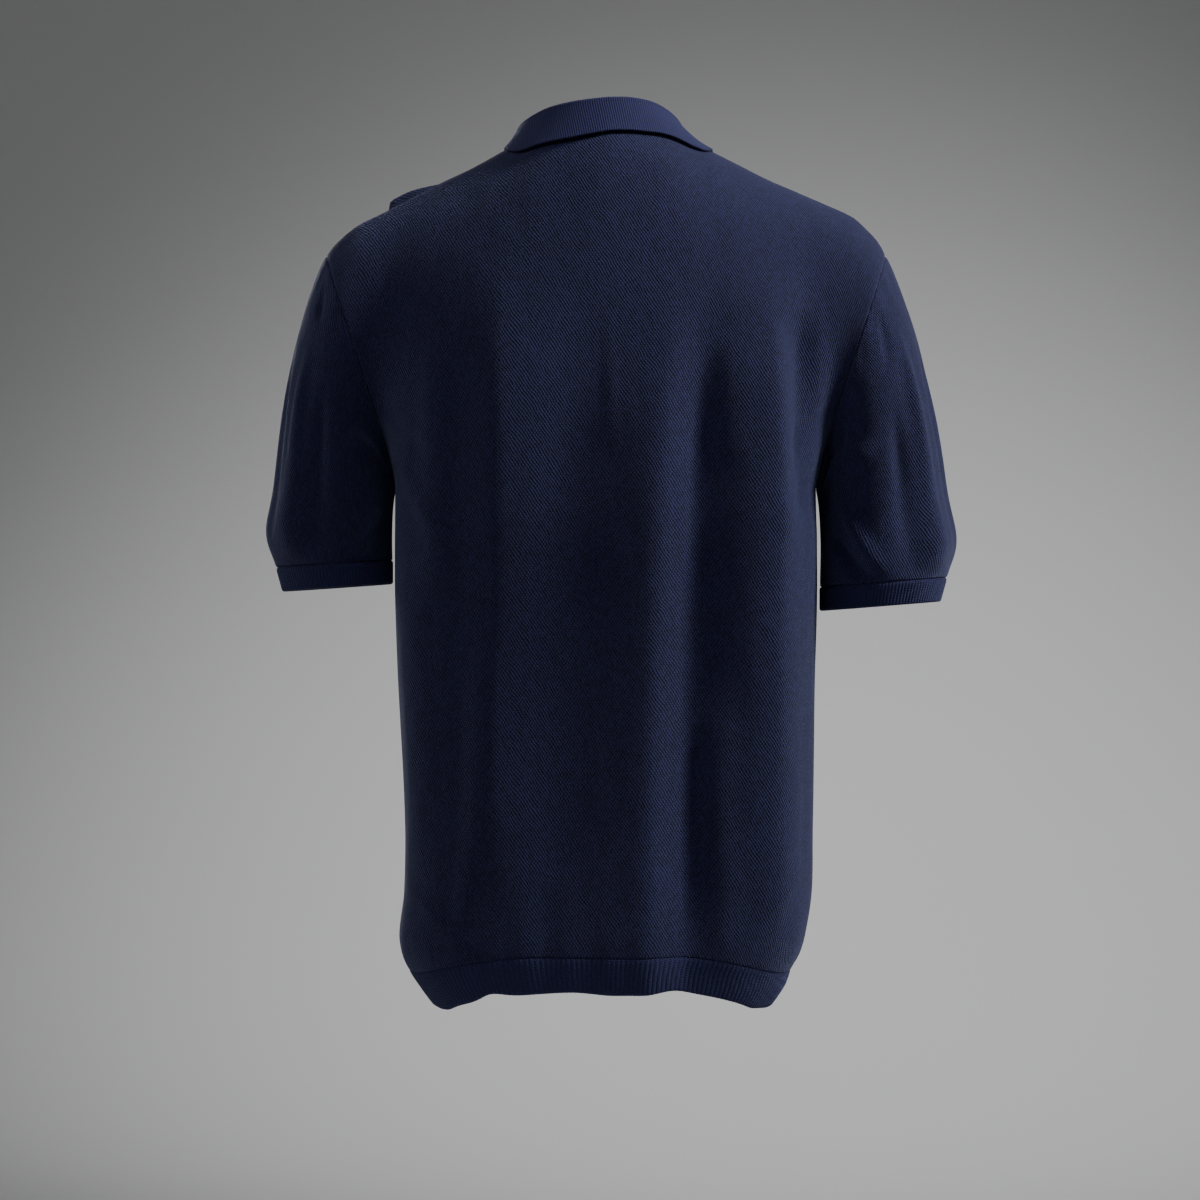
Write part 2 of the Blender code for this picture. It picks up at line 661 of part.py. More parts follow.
def make_button(button, collection, cutters):
    bm = bmesh.new()
    verts = [bm.verts.new((radius, 0, z)) for radius, z in button_profile()]
    for a, b in zip(verts, verts[1:]):
        bm.edges.new((a, b))
    disc = new_object(button.name, bm, DARK_BUTTON, collection)
    screw = disc.modifiers.new("turn", "SCREW")
    screw.steps = screw.render_steps = BUTTON_SIDES
    screw.use_merge_vertices = True
    screw.merge_threshold = 1e-5

    holes = bmesh.new()
    for quarter in range(4):
        angle = math.radians(45 + 90 * quarter)
        at = Vector((math.cos(angle), math.sin(angle), 0)) * BUTTON_HOLE_OUT + UP * BUTTON_THICK / 2
        bmesh.ops.create_cone(
            holes, cap_ends=True, segments=6, radius1=BUTTON_HOLE, radius2=BUTTON_HOLE,
            depth=2 * BUTTON_THICK, matrix=Matrix.Translation(at),
        )
    cutter = new_object(f"{button.name}_holes", holes, DARK_BUTTON, cutters)
    cutter.hide_render = True
    cutter.display_type = "WIRE"
    cutter.parent = disc
    cut = disc.modifiers.new("holes", "BOOLEAN")
    cut.operation = "DIFFERENCE"
    cut.object = cutter

    v = button.share * neck_v(FRONT, 0)
    disc.location = body_point(FRONT, 0, v, UPPER_STRIP_OUT + BUTTON_SEAT)
    disc.rotation_euler = torso_normal(FRONT, 0, v).to_track_quat("Z", "Y").to_euler()


def main():
    for obj in list(bpy.data.objects):
        bpy.data.objects.remove(obj)
    shirt = bpy.data.collections.new("polo_shirt")
    cutters = bpy.data.collections.new("cutters")
    bpy.context.scene.collection.children.link(shirt)
    bpy.context.scene.collection.children.link(cutters)
    make_panel("back_panel", BACK, shirt)
    make_panel("front_panel", FRONT, shirt)
    make_hem_rib("hem_rib_back", BACK, shirt)
    make_hem_rib("hem_rib_front", FRONT, shirt)
    for row in SLEEVES:
        make_sleeve(row, shirt)
        make_cuff(row, shirt)
    make_collar(shirt)
    make_strip("placket_upper", UPPER_STRIP_OUT, CLOTH, shirt)
    make_strip("placket_under", UNDER_STRIP_OUT, UNDER_STRIP_WALL, shirt)
    for button in BUTTONS:
        make_button(button, shirt, cutters)


main()
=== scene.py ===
"""The looks of a knitted short-sleeved polo shirt, shown as worn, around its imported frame.

Metres, +Z up. The wearer faces -Y, so +X is the wearer's left and the back of the shirt faces +Y.
Each piece of cloth is a fine sheet of cells that is bent onto the form of its solid, with creases, and
gets a thin wall. Its UV map is its flat size in metres, so that stitches and ribs follow the cloth.
"""

import bisect
import functools
import math
from collections import namedtuple

import bmesh
import bpy
from mathutils import Matrix, Vector, noise


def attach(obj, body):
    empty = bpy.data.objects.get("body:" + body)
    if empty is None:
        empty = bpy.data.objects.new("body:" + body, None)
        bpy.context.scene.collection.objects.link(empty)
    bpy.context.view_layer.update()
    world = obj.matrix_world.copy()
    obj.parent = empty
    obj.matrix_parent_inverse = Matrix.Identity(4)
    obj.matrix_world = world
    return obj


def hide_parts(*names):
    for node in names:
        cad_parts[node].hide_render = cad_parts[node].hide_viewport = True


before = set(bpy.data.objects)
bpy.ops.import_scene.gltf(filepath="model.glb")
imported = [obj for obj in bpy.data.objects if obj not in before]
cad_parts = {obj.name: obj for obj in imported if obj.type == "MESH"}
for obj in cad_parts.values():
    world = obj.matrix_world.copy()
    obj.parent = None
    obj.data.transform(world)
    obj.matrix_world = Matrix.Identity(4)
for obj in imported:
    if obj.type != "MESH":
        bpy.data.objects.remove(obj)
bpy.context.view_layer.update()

BACK, FRONT = 1, -1
LEFT, RIGHT = 1, -1
DOWN = Vector((0, 0, -1))
UP = Vector((0, 0, 1))
SMALL = 0.005  # step along a surface for its normal
TURN = 2 * math.pi

# ---------------------------------------------------------------- cloth and seams
CLOTH = 0.0020
SEAM_GAP = 0.00003  # sewn shut
SEAM_ROLL = 0.0011  # how far the cloth turns in at a seam
SEAM_REACH = 0.0032
EDGE_ROLL = 0.0009  # how far it turns in at a free edge
EDGE_REACH = 0.0018
SEAM_TUCK = 0.0012  # how far a rib reaches up under the cloth above it
RIB_IN = 0.8 * CLOTH  # and how deep under it
RIB_SEAM_EASE = 0.0016  # a panel turns in less at its rib
HEM_SEAM_ROLL, CUFF_SEAM_ROLL = 0.2, 0.7  # share of the seam roll that a rib takes
EDGE_FINE = (0.0008, 0.0020, 0.0036)  # extra rows of cells this far from an edge
RIB_WALL = 0.0016  # from the inside to a groove
RIB_RELIEF = 0.0009
HEM_RELIEF = 0.0007  # the hem's ribs are stretched flatter
RIB_PITCH = 0.0030
RIB_CELLS = 6
RIB_START, RIB_RISE, RIB_FADE = 0.4, 8, 10  # of the relief: at the free edge, its rise, and its end at the seam
OUTLINE_STEPS = 200  # to measure a band before its ribs are counted
WANDER = 0.0007  # unevenness of worn cloth
WANDER_SIZE = Vector((0.030, 0.030, 0.075))

# ---------------------------------------------------------------- body
UNDERARM_Z = -0.278
SQUARENESS = {BACK: 3.0, FRONT: 2.35}  # of the section: 2 is an ellipse, more is squarer
SIDE_CELLS = 72  # columns from the centre to a side seam
LOWER_CELLS = 88  # rows from the hem rib to the underarm
UPPER_CELLS = 98  # rows from the underarm to the shoulder
# About how long these runs are on the cloth, and the one up the armhole.
SIDE_RUN, LOWER_RUN, UPPER_RUN, ARMHOLE_RUN = 0.25, 0.38, 0.28, 0.22
FLAT_STEPS, FLAT_START = 48, 1.02  # the flat cloth is measured in these steps, from v = -FLAT_START

Body = namedtuple("Body", "z left right back front")
BODY = (
    Body(-0.7050, 0.1340, 0.1300, 0.0960, 0.1040),
    Body(-0.6950, 0.1430, 0.1380, 0.0990, 0.1080),
    Body(-0.6820, 0.1530, 0.1460, 0.1020, 0.1120),
    Body(-0.6680, 0.1620, 0.1510, 0.1045, 0.1160),
    Body(-0.6560, 0.1670, 0.1580, 0.1060, 0.1190),
    Body(-0.6400, 0.1690, 0.1630, 0.1060, 0.1210),
    Body(-0.6070, 0.1650, 0.1680, 0.1035, 0.1220),
    Body(-0.5580, 0.1640, 0.1690, 0.1015, 0.1220),
    Body(-0.4920, 0.1670, 0.1700, 0.1020, 0.1230),
    Body(-0.4260, 0.1706, 0.1710, 0.1055, 0.1260),
    Body(-0.3610, 0.1725, 0.1725, 0.1115, 0.1290),
    Body(-0.3020, 0.1722, 0.1722, 0.1185, 0.1315),
    Body(-0.2780, 0.1720, 0.1720, 0.1195, 0.1320),
)

# ---------------------------------------------------------------- hem rib
HEM_RIB = 0.0300
HEM_ROWS = 14
HEM_SIDE_Z = -0.6990
HEM_MIDDLE_Z = {BACK: -0.6825, FRONT: -0.6900}
HEM_FALL_FROM, HEM_FALL_TO = 0.2, 0.7  # between these s the hem drops from the middle to the sides
HemWave = namedtuple("HemWave", "s rise width")
HEM_WAVES = {
    BACK: (
        HemWave(0.37, 0.0035, 0.05),
        HemWave(0.11, 0.0020, 0.07),
        HemWave(-0.22, 0.0022, 0.06),
        HemWave(0.62, -0.0014, 0.07),
        HemWave(-0.55, -0.0012, 0.06),
    ),
    FRONT: (HemWave(0.40, 0.0030, 0.10), HemWave(-0.22, 0.0025, 0.12), HemWave(0.05, 0.0012, 0.06)),
}

# ---------------------------------------------------------------- neck and shoulders
NECK_CELLS = 28
NECK_S = NECK_CELLS / SIDE_CELLS
NECK_STEPS = 4 * NECK_CELLS
NECK_HALVINGS, PLACKET_HALVINGS = 24, 30  # of a span, to find a place in it
NECK_HALF = 0.0750
NECK_DEPTH = {BACK: 0.0680, FRONT: 0.0850}
SHOULDER_HALF = 0.2290
SHOULDER_SPREAD = math.log(NECK_HALF / SHOULDER_HALF) / math.log(NECK_S)
# How the section from the underarm up to the shoulder rounds in: under 1 is fuller.
SHOULDER_POWER = 0.86
CENTRE_POWER = {BACK: 0.52, FRONT: 1.41}
POWER_SPREAD = 0.55
SIDE_CLIMB = 1.2
ARMHOLE_BULGE = {BACK: 0.0660, FRONT: 0.0540}

# The line over the shoulders. Inside the neck it only guides the panels up to the neckline.
Shoulder = namedtuple("Shoulder", "x left right")
SHOULDER = (
    Shoulder(-0.0400, 0.0230, 0.0230),
    Shoulder(0.0000, 0.0300, 0.0300),
    Shoulder(0.0400, 0.0230, 0.0230),
    Shoulder(0.0750, 0.0030, 0.0030),
    Shoulder(0.0870, -0.0035, -0.0025),
    Shoulder(0.1100, -0.0160, -0.0139),
    Shoulder(0.1330, -0.0268, -0.0254),
    Shoulder(0.1560, -0.0385, -0.0353),
    Shoulder(0.1790, -0.0505, -0.0451),
    Shoulder(0.2020, -0.0618, -0.0558),
    Shoulder(0.2130, -0.0700, -0.0656),
    Shoulder(0.2230, -0.0795, -0.0765),
    Shoulder(0.2290, -0.0875, -0.0875),
)

# ---------------------------------------------------------------- drape
FOLD_END = 0.22  # share of a fold's length over which it rises and fades
FOLD_FOOT = 0.45  # share of a flank's width that is soft
CREST_ROUND = 0.0055
HEM_CALM, HEM_CALM_V = 0.75, -0.80  # the rib pulls the folds in
Fold = namedtuple("Fold", "top_z low_z top_x mid_x low_x height left_width right_width")
FOLDS = {
    BACK: (
        Fold(-0.092, -0.655, 0.084, 0.085, 0.090, 0.0080, 0.032, 0.070),
        Fold(-0.092, -0.765, -0.054, -0.036, -0.032, 0.0125, 0.080, 0.034),
        Fold(-0.105, -0.765, -0.079, -0.072, -0.062, -0.0105, 0.040, 0.056),
        Fold(-0.080, -0.700, -0.133, -0.132, -0.131, 0.0140, 0.062, 0.030),
        # finer creases
        Fold(-0.139, -0.385, 0.139, 0.138, 0.136, 0.0022, 0.014, 0.014),
        Fold(-0.385, -0.665, 0.098, 0.104, 0.118, 0.0024, 0.010, 0.020),
        Fold(-0.337, -0.600, 0.156, 0.152, 0.147, 0.0022, 0.012, 0.014),
        Fold(-0.430, -0.680, -0.086, -0.089, -0.096, 0.0040, 0.018, 0.018),
        Fold(-0.150, -0.270, -0.098, -0.098, -0.096, 0.0022, 0.014, 0.022),
        Fold(-0.130, -0.320, -0.155, -0.157, -0.160, -0.0095, 0.024, 0.013),
        Fold(-0.130, -0.260, -0.002, -0.003, -0.003, 0.0007, 0.0035, 0.006),
        Fold(-0.560, -0.900, 0.030, 0.026, 0.022, 0.0018, 0.014, 0.020),
        Fold(-0.600, -0.900, -0.002, -0.004, -0.006, 0.0014, 0.012, 0.014),
        Fold(-0.560, -0.900, 0.066, 0.064, 0.062, 0.0014, 0.012, 0.014),
    ),
    FRONT: (
        Fold(-0.170, -0.640, 0.096, 0.088, 0.080, 0.0075, 0.034, 0.060),
        Fold(-0.240, -0.900, 0.030, 0.040, 0.052, -0.0060, 0.040, 0.044),
        Fold(-0.200, -0.900, -0.078, -0.066, -0.060, 0.0080, 0.040, 0.046),
        Fold(-0.330, -0.900, -0.112, -0.104, -0.100, -0.0060, 0.034, 0.040),
        # finer creases
        Fold(-0.420, -0.900, 0.128, 0.120, 0.112, 0.0026, 0.016, 0.026),
        Fold(-0.380, -0.700, -0.014, -0.020, -0.024, 0.0022, 0.014, 0.024),
        Fold(-0.160, -0.330, 0.152, 0.150, 0.154, -0.0040, 0.018, 0.020),
        Fold(-0.150, -0.330, -0.154, -0.152, -0.156, -0.0036, 0.020, 0.018),
        Fold(-0.520, -0.900, 0.070, 0.074, 0.078, 0.0020, 0.012, 0.018),
        Fold(-0.450, -0.760, -0.136, -0.132, -0.128, 0.0022, 0.012, 0.018),
    ),
}
# One short fold of the front stands up beside the left shoulder seam.
TUCK_HEIGHT = 0.0100
TUCK_START_X, TUCK_FULL_X, TUCK_END_X, TUCK_CUT = 0.118, 0.162, 0.181, 0.009
TUCK_V, TUCK_WIDTH, TUCK_TOP = 13 / 14, 0.05, 14

# Short slanting creases: from x, z to to_x, to_z on one side of the body.
Pull = namedtuple("Pull", "x z to_x to_z height width")
PULLS = {
    BACK: (
        Pull(0.176, -0.240, 0.128, -0.330, 0.0022, 0.007),
        Pull(0.180, -0.215, 0.140, -0.262, -0.0018, 0.006),
        Pull(-0.176, -0.236, -0.134, -0.312, 0.0022, 0.007),
        Pull(-0.182, -0.210, -0.146, -0.252, -0.0016, 0.006),
        Pull(0.160, -0.600, 0.112, -0.648, 0.0015, 0.007),
        Pull(-0.150, -0.590, -0.104, -0.650, 0.0016, 0.008),
    ),
    FRONT: (
        Pull(0.176, -0.236, 0.116, -0.320, 0.0024, 0.008),
        Pull(-0.176, -0.240, -0.120, -0.330, 0.0022, 0.008),
        Pull(0.020, -0.236, 0.060, -0.150, 0.0012, 0.008),
        Pull(-0.150, -0.600, -0.100, -0.650, 0.0016, 0.008),
    ),
}

# ---------------------------------------------------------------- sleeves
SLEEVE_COLUMNS = 168
SLEEVE_ROWS = 96
SHOULDER_LEAD, SHOULDER_DROP = 1.0, 0.25
UNDERARM_LEAD, UNDERARM_DROP = 0.22, 1.0
LEAD_LENGTH, TRAIL_LENGTH = 0.30, 0.22
TRAIL_SPREAD = 0.16
BLOUSE, BLOUSE_AT, BLOUSE_WIDTH = 0.0075, 0.87, 0.12
CUFF_HEIGHT = 0.0200
CUFF_ROWS = 12
CUFF_DEPTH = 0.0570
CUFF_Y = -0.0110
CUFF_FLARE = 0.0055
SLEEVE_LENGTH, SLEEVE_RADIUS = 0.27, 0.060  # to measure creases on the sleeve
SLEEVE_CALM, CUFF_CALM = 0.15, 0.06  # shares of its length over which they fade at its two seams
RUN_STEPS = 24  # to measure its length

Sleeve = namedtuple("Sleeve", "name hand outer inner outer_z inner_z")
SLEEVES = (
    Sleeve("left", LEFT, 0.2655, 0.1757, -0.3624, -0.3560),
    Sleeve("right", RIGHT, 0.2747, 0.1762, -0.3706, -0.3780),
)

# A crease of a sleeve, from turn, t to to_turn, to_t. The turn is 0 on top, 90 at the back, 180 below.
SleevePull = namedtuple("SleevePull", "turn t to_turn to_t height width")
SLEEVE_PULLS = {
    "right": (
        SleevePull(62, 0.24, 44, 0.97, 0.0054, 0.010),
        SleevePull(86, 0.40, 70, 0.96, -0.0048, 0.010),
        SleevePull(150, 0.66, 108, 0.98, -0.0042, 0.006),
        SleevePull(138, 0.58, 96, 0.94, 0.0035, 0.006),
        SleevePull(165, 0.16, 112, 0.44, 0.0042, 0.008),
        SleevePull(20, 0.30, 14, 0.94, -0.0029, 0.009),
        SleevePull(300, 0.26, 318, 0.95, 0.0048, 0.011),
        SleevePull(262, 0.44, 280, 0.96, -0.0042, 0.010),
        SleevePull(205, 0.18, 250, 0.50, 0.0038, 0.009),
        SleevePull(78, 0.05, 84, 0.22, -0.0022, 0.006),
    ),
    "left": (
        SleevePull(58, 0.28, 50, 0.96, 0.0045, 0.011),
        SleevePull(88, 0.36, 78, 0.95, -0.0045, 0.010),
        SleevePull(150, 0.60, 116, 0.96, 0.0038, 0.007),
        SleevePull(165, 0.14, 116, 0.40, 0.0038, 0.008),
        SleevePull(16, 0.34, 24, 0.92, -0.0026, 0.010),
        SleevePull(302, 0.30, 312, 0.95, 0.0048, 0.012),
        SleevePull(268, 0.40, 282, 0.96, -0.0038, 0.010),
        SleevePull(205, 0.20, 246, 0.52, 0.0038, 0.009),
        SleevePull(48, 0.02, 60, 0.16, -0.0035, 0.005),
    ),
}
# The armhole seam draws the cloth up a little, PUCKER_TURNS times round, most at t = PUCKER_T.
PUCKER_TURNS, PUCKER, PUCKER_T = 16.0, 0.0004, 0.05

# ---------------------------------------------------------------- collar
COLLAR_BEND = 0.0034  # radius of its outside at the fold
COLLAR_LIFT = 0.0023  # from the panel to the outside of the leaf's edge
LEAF_FALL = 1.4  # over 1, the leaf drops soon after the fold
COLLAR_SHIFT = 0.0050  # the fold lies this far to the wearer's left
COLLAR_SKEW = 0.022  # the leaf reaches out more on the wearer's right
COLLAR_TILT = 0.0026  # the collar stands higher on the wearer's right of the back, and lower on the left
TILT_TO_V = 9  # v for a metre of tilt
COLLAR_PARTING = 0.992  # share of the half neckline from the nape to the collar's end
STAND_BOW = 0.0010
COLLAR_COLUMNS = 224
STAND_ROWS, BEND_ROWS, LEAF_ROWS = 8, 8, 30
COLLAR_WALL = 0.0018
COLLAR_END_STEP = 0.003  # the last column of cells is this fine
COLLAR_HALF_RUN, LEAF_RUN = 0.2, 0.04  # about how long and how deep the leaf is
LEAF_WANDER, WANDER_ROWS = 0.5, 10

# around: 0 at the nape, 0.5 at the shoulder, 1 at the front. The leaf's edge lies on the body at s, v,
# where v over 1 is past the line over the shoulders, on the front.
Collar = namedtuple("Collar", "around stand lean edge_s edge_v lift")
COLLAR = (
    Collar(-0.15, 0.0224, 0.0080, -0.190, 0.743, 0.0020),
    Collar(0.00, 0.0212, 0.0075, 0.000, 0.738, 0.0020),
    Collar(0.15, 0.0224, 0.0080, 0.190, 0.743, 0.0020),
    Collar(0.30, 0.0188, 0.0095, 0.338, 0.788, 0.0015),
    Collar(0.42, 0.0145, 0.0115, 0.402, 0.848, 0.0004),
    Collar(0.50, 0.0120, 0.0120, 0.426, 0.932, 0.0),
    Collar(0.57, 0.0122, 0.0120, 0.433, 1.075, 0.0),
    Collar(0.65, 0.0132, 0.0110, 0.415, 1.265, 0.0004),
    Collar(0.75, 0.0155, 0.0100, 0.362, 1.415, 0.0010),
    Collar(0.86, 0.0190, 0.0095, 0.268, 1.560, 0.0012),
    Collar(1.00, 0.0210, 0.0090, 0.205, 1.640, 0.0015),
)

# ---------------------------------------------------------------- placket and buttons
PLACKET_HALF = 0.0150
SLOT_CELLS = 4  # columns from the centre to the slot's edge
PLACKET_SHARE = 4 / 14
PLACKET_ROW = round(PLACKET_SHARE * UPPER_CELLS)
PLACKET_EASE = 0.0025  # share of the upper rows left open under the strips
STRIP_COLUMNS, STRIP_ROWS = 22, 130
STRIP_RUN = 0.15
UPPER_STRIP_OUT = 0.0004
UNDER_STRIP_OUT = -0.0019
UNDER_STRIP_WALL = 0.0016

BUTTON_RADIUS = 0.0055
BUTTON_SIDES = 48
BUTTON_THICK = 0.0028
BUTTON_WELL = 0.0034  # radius of the hollow in its middle
BUTTON_DISH = 0.0008
BUTTON_ROUND = 0.0006
BUTTON_SEAT = 0.0006
BUTTON_HOLE = 0.0008
BUTTON_HOLE_OUT = 0.0015
BUTTON_LIP, BUTTON_BACK = 0.15, 0.9  # rise of the well's lip, and how full the back is
WELL_STEPS, RIM_STEPS = 4, 8
SHARP_DEGREES = 40
THREAD_RADIUS = 0.00035
THREAD_OVER, THREAD_SPREAD, THREAD_SINK = 1.9, 1.3, 0.4  # in radii: the upper threads, and those at the sides
Button = namedtuple("Button", "name share")
BUTTONS = (Button("button_top", 0.93), Button("button_middle", 0.64), Button("button_bottom", 0.36))
BUTTONHOLE_HALF, BUTTONHOLE_SIDE, BUTTONHOLE_THREAD = 0.0072, 0.0011, 0.0006
BUTTONHOLE_STEPS, BUTTONHOLE_SIDES = 64, 8
BUTTONHOLE_SEAT, BUTTONHOLE_FLAT, BUTTONHOLE_SWELL = 0.0002, 0.8, 0.16

# ---------------------------------------------------------------- knit and colour
STITCH_WIDE, STITCH_HIGH = 0.0025, 0.0019
RIB_STITCH = 0.0019  # height of a stitch on a rib
FINE_RIB = 0.0019
KNIT_UV = "flat_metres"
# In each yarn colour pair the first is the yarn's own colour on the stitches' tops, and the second is painted
# shade for the hollows between stitches, ribs and a thread's twist.
NAVY_TOP, NAVY_PAINTED_SHADE = (0.0185, 0.0212, 0.0900, 1), (0.0052, 0.0058, 0.0240, 1)
RIB_TOP, RIB_PAINTED_SHADE = (0.0150, 0.0172, 0.0720, 1), (0.0048, 0.0054, 0.0215, 1)
COLLAR_TOP, COLLAR_PAINTED_SHADE = (0.0180, 0.0196, 0.0840, 1), (0.0085, 0.0094, 0.0380, 1)
BUTTON_DARK, BUTTON_VEIN = (0.0090, 0.0100, 0.0200, 1), (0.0240, 0.0270, 0.0420, 1)
THREAD_NAVY = (0.0180, 0.0210, 0.0600, 1)
STAGE_GREY = (0.60, 0.60, 0.60, 1)


# ---------------------------------------------------------------- small maths
def lerp(a, b, t):
    return a + (b - a) * t


def ease(t):
    t = min(max(t, 0.0), 1.0)
    return t * t * (3 - 2 * t)


def bump(distance, width):
    return math.exp(-((distance / width) ** 2))


def ridge(distance, width):
    """1 at a slightly rounded crest, with straight flanks that end softly at the width."""
    part = 1 - (math.hypot(distance, CREST_ROUND) - CREST_ROUND) / width
    if part <= 0:
        return 0.0
    return (part * part / (2 * FOLD_FOOT) if part < FOLD_FOOT else part - FOLD_FOOT / 2) / (1 - FOLD_FOOT / 2)


def turned_in(distance, reach, depth):
    """A round roll inwards: depth at the edge itself, nothing from reach on."""
    away = min(max(1 - distance / reach, 0.0), 1.0)
    return -depth * (1 - math.sqrt(1 - away * away))


def read(rows, place, column):
    """A column of a table at a place along its first column, on a smooth curve through its rows."""
    keys = [row[0] for row in rows]
    values = [getattr(row, column) for row in rows]
    place = min(max(place, keys[0]), keys[-1])
    i = min(max(bisect.bisect_right(keys, place) - 1, 0), len(keys) - 2)

    def slope(k):
        low, high = max(k - 1, 0), min(k + 1, len(keys) - 1)
        return (values[high] - values[low]) / (keys[high] - keys[low])

    step = keys[i + 1] - keys[i]
    t = (place - keys[i]) / step
    start, end = slope(i) * step, slope(i + 1) * step
    rise = values[i + 1] - values[i]
    return values[i] + start * t + (3 * rise - 2 * start - end) * t * t + (start + end - 2 * rise) * t**3


def crease(x, z, line, height, width):
    """A soft ridge or trough along a short straight line, fading at both its ends."""
    from_x, from_z, to_x, to_z = line
    along_x, along_z = to_x - from_x, to_z - from_z
    length = math.hypot(along_x, along_z)
    t = ((x - from_x) * along_x + (z - from_z) * along_z) / length**2
    across = ((x - from_x) * along_z - (z - from_z) * along_x) / length
    fade = ease((t + 0.15) / 0.4) * ease((1.15 - t) / 0.4)
    return height * fade * bump(across, width * (0.7 + 0.6 * min(max(t, 0), 1)))


def wander(point):
    place = Vector((point.x / WANDER_SIZE.x, point.y / WANDER_SIZE.y, point.z / WANDER_SIZE.z))
    return WANDER * (noise.noise(place) + 0.4 * noise.noise(place * 2.3))


# ---------------------------------------------------------------- the body's surface
def hem_line(side, s):
    fall = ease((abs(s) - HEM_FALL_FROM) / (HEM_FALL_TO - HEM_FALL_FROM))
    return lerp(HEM_MIDDLE_Z[side], HEM_SIDE_Z, fall)


def hem_z(side, s):
    return hem_line(side, s) + sum(wave.rise * bump(s - wave.s, wave.width) for wave in HEM_WAVES[side])


def rib_top_z(side, s):
    return hem_line(side, s) + HEM_RIB


def shoulder_line(s):
    x = SHOULDER_HALF * abs(s) ** SHOULDER_SPREAD
    return Vector((math.copysign(x, s), 0, read(SHOULDER, x, "left" if s >= 0 else "right")))


def torso(side, s, v):
    """The smooth outside of the body. s runs from -1 at the right side seam to 1 at the left one.
    v is -1 where the hem rib starts, 0 at the underarm and 1 on the line over the shoulders."""
    if abs(s) > 1 or v > 1:
        inside = torso(side, math.copysign(min(abs(s), 2 - abs(s)), s), min(v, 2 - v))
        return Vector((inside.x, -inside.y, inside.z))
    z = UNDERARM_Z if v > 0 else lerp(UNDERARM_Z, rib_top_z(side, s), -v)
    turn = math.radians(90 * abs(s))
    half = read(BODY, z, "left" if s >= 0 else "right")
    depth = read(BODY, z, "back" if side == BACK else "front")
    wide, deep = math.sin(turn), max(math.cos(turn), 0.0)
    reach = (wide ** SQUARENESS[side] + deep ** SQUARENESS[side]) ** (-1 / SQUARENESS[side])
    x = math.copysign(half * wide * reach, s)
    y = side * depth * deep * reach
    if v <= 0:
        return Vector((x, y, z))
    rise = math.radians(90 * v)
    top = shoulder_line(s)
    power = lerp(CENTRE_POWER[side], SHOULDER_POWER, ease(abs(s) / POWER_SPREAD))
    bulge = side * ARMHOLE_BULGE[side] * s * s * math.sin(2 * rise)
    return Vector((
        lerp(x, top.x, math.sin(rise) ** SIDE_CLIMB),
        y * max(math.cos(rise), 0.0) ** power + bulge,
        lerp(z, top.z, math.sin(rise)),
    ))


@functools.lru_cache(maxsize=None)
def neckline(side):
    """Where each of many even steps of s, from the centre to the shoulder, meets the neckline."""
    found = []
    for i in range(NECK_STEPS + 1):
        low, high = 0.0, 1.0
        for _ in range(NECK_HALVINGS):
            middle = (low + high) / 2
            point = torso(side, NECK_S * i / NECK_STEPS, middle)
            inside = (point.x / NECK_HALF) ** 2 + (point.y / NECK_DEPTH[side]) ** 2 < 1
            low, high = (low, middle) if inside else (middle, high)
        found.append(high)
    return found


def neck_v(side, s):
    """Where a column meets the neckline, an oval seen from above, or the shoulder seam."""
    if abs(s) >= NECK_S:
        return 1.0
    found = neckline(side)
    place = abs(s) / NECK_S * (len(found) - 1)
    i = min(int(place), len(found) - 2)
    return lerp(found[i], found[i + 1], place - i)


def neck_s(part):
    """Columns spread evenly around the neckline: part is 0 at the centre and 1 or -1 at the shoulder."""
    return NECK_S * math.sin(math.radians(90 * part))


def armhole_normal(side, hand, v):
    """Shared by the body and the sleeve along their seam: down at the underarm, out at the shoulder."""
    rise = math.radians(90 * v)
    high, low, across = math.sin(rise) ** 2, math.cos(rise) ** 2, math.sin(2 * rise)
    return Vector((hand * (0.83 * high + 0.12 * across), side * 0.95 * across, 0.55 * high - low)).normalized()


def torso_normal(side, s, v):
    if abs(s) == 1 and v >= 0:
        return armhole_normal(side, math.copysign(1, s), v)
    across = torso(side, s + SMALL, v) - torso(side, s - SMALL, v)
    upward = torso(side, s, v + SMALL) - torso(side, s, v - SMALL)
    return across.cross(upward).normalized() * -side


def seam_calm(s, v):
    """1 inside a panel, and 0 at its side, armhole and shoulder seams."""
    return (1 - s**8) * (1 - max(v, 0) ** 6)


def drape(side, s, v, place):
    """How far the folds stand out of the smooth body. They fade at the seams and run into the hem."""
    out = 0.0
    for fold in FOLDS[side]:
        t = (fold.top_z - place.z) / (fold.top_z - fold.low_z)
        if not 0 < t < 1:
            continue
        crest = lerp(fold.top_x, fold.low_x, t) + (2 * fold.mid_x - fold.top_x - fold.low_x) * 2 * t * (1 - t)
        width = fold.left_width if place.x > crest else fold.right_width
        length = ease(t / FOLD_END) * ease((1 - t) / FOLD_END)
        out += fold.height * length * ridge(place.x - crest, width)
    for pull in PULLS[side]:
        out += crease(place.x, place.z, pull[:4], pull.height, pull.width)
    out *= seam_calm(s, v) * lerp(1, HEM_CALM, ease((HEM_CALM_V - v) / (1 + HEM_CALM_V)))
    if side == FRONT:
        along = ease((place.x - TUCK_START_X) / (TUCK_FULL_X - TUCK_START_X))
        along *= ease((TUCK_END_X - place.x) / TUCK_CUT)
        out += TUCK_HEIGHT * along * bump(v - TUCK_V, TUCK_WIDTH) * ease((1 - v) * TUCK_TOP)
    return out


def body_frame(side, s, v):
    """A point of the draped body and the way out of it."""
    place = torso(side, s, v)
    normal = torso_normal(side, s, v)
    point = place + normal * (drape(side, s, v, place) + wander(place) * seam_calm(s, v))
    point.y += side * SEAM_GAP / 2
    return point, normal


def body_point(side, s, v, out=0.0):
    point, normal = body_frame(side, s, v)
    return point + normal * out


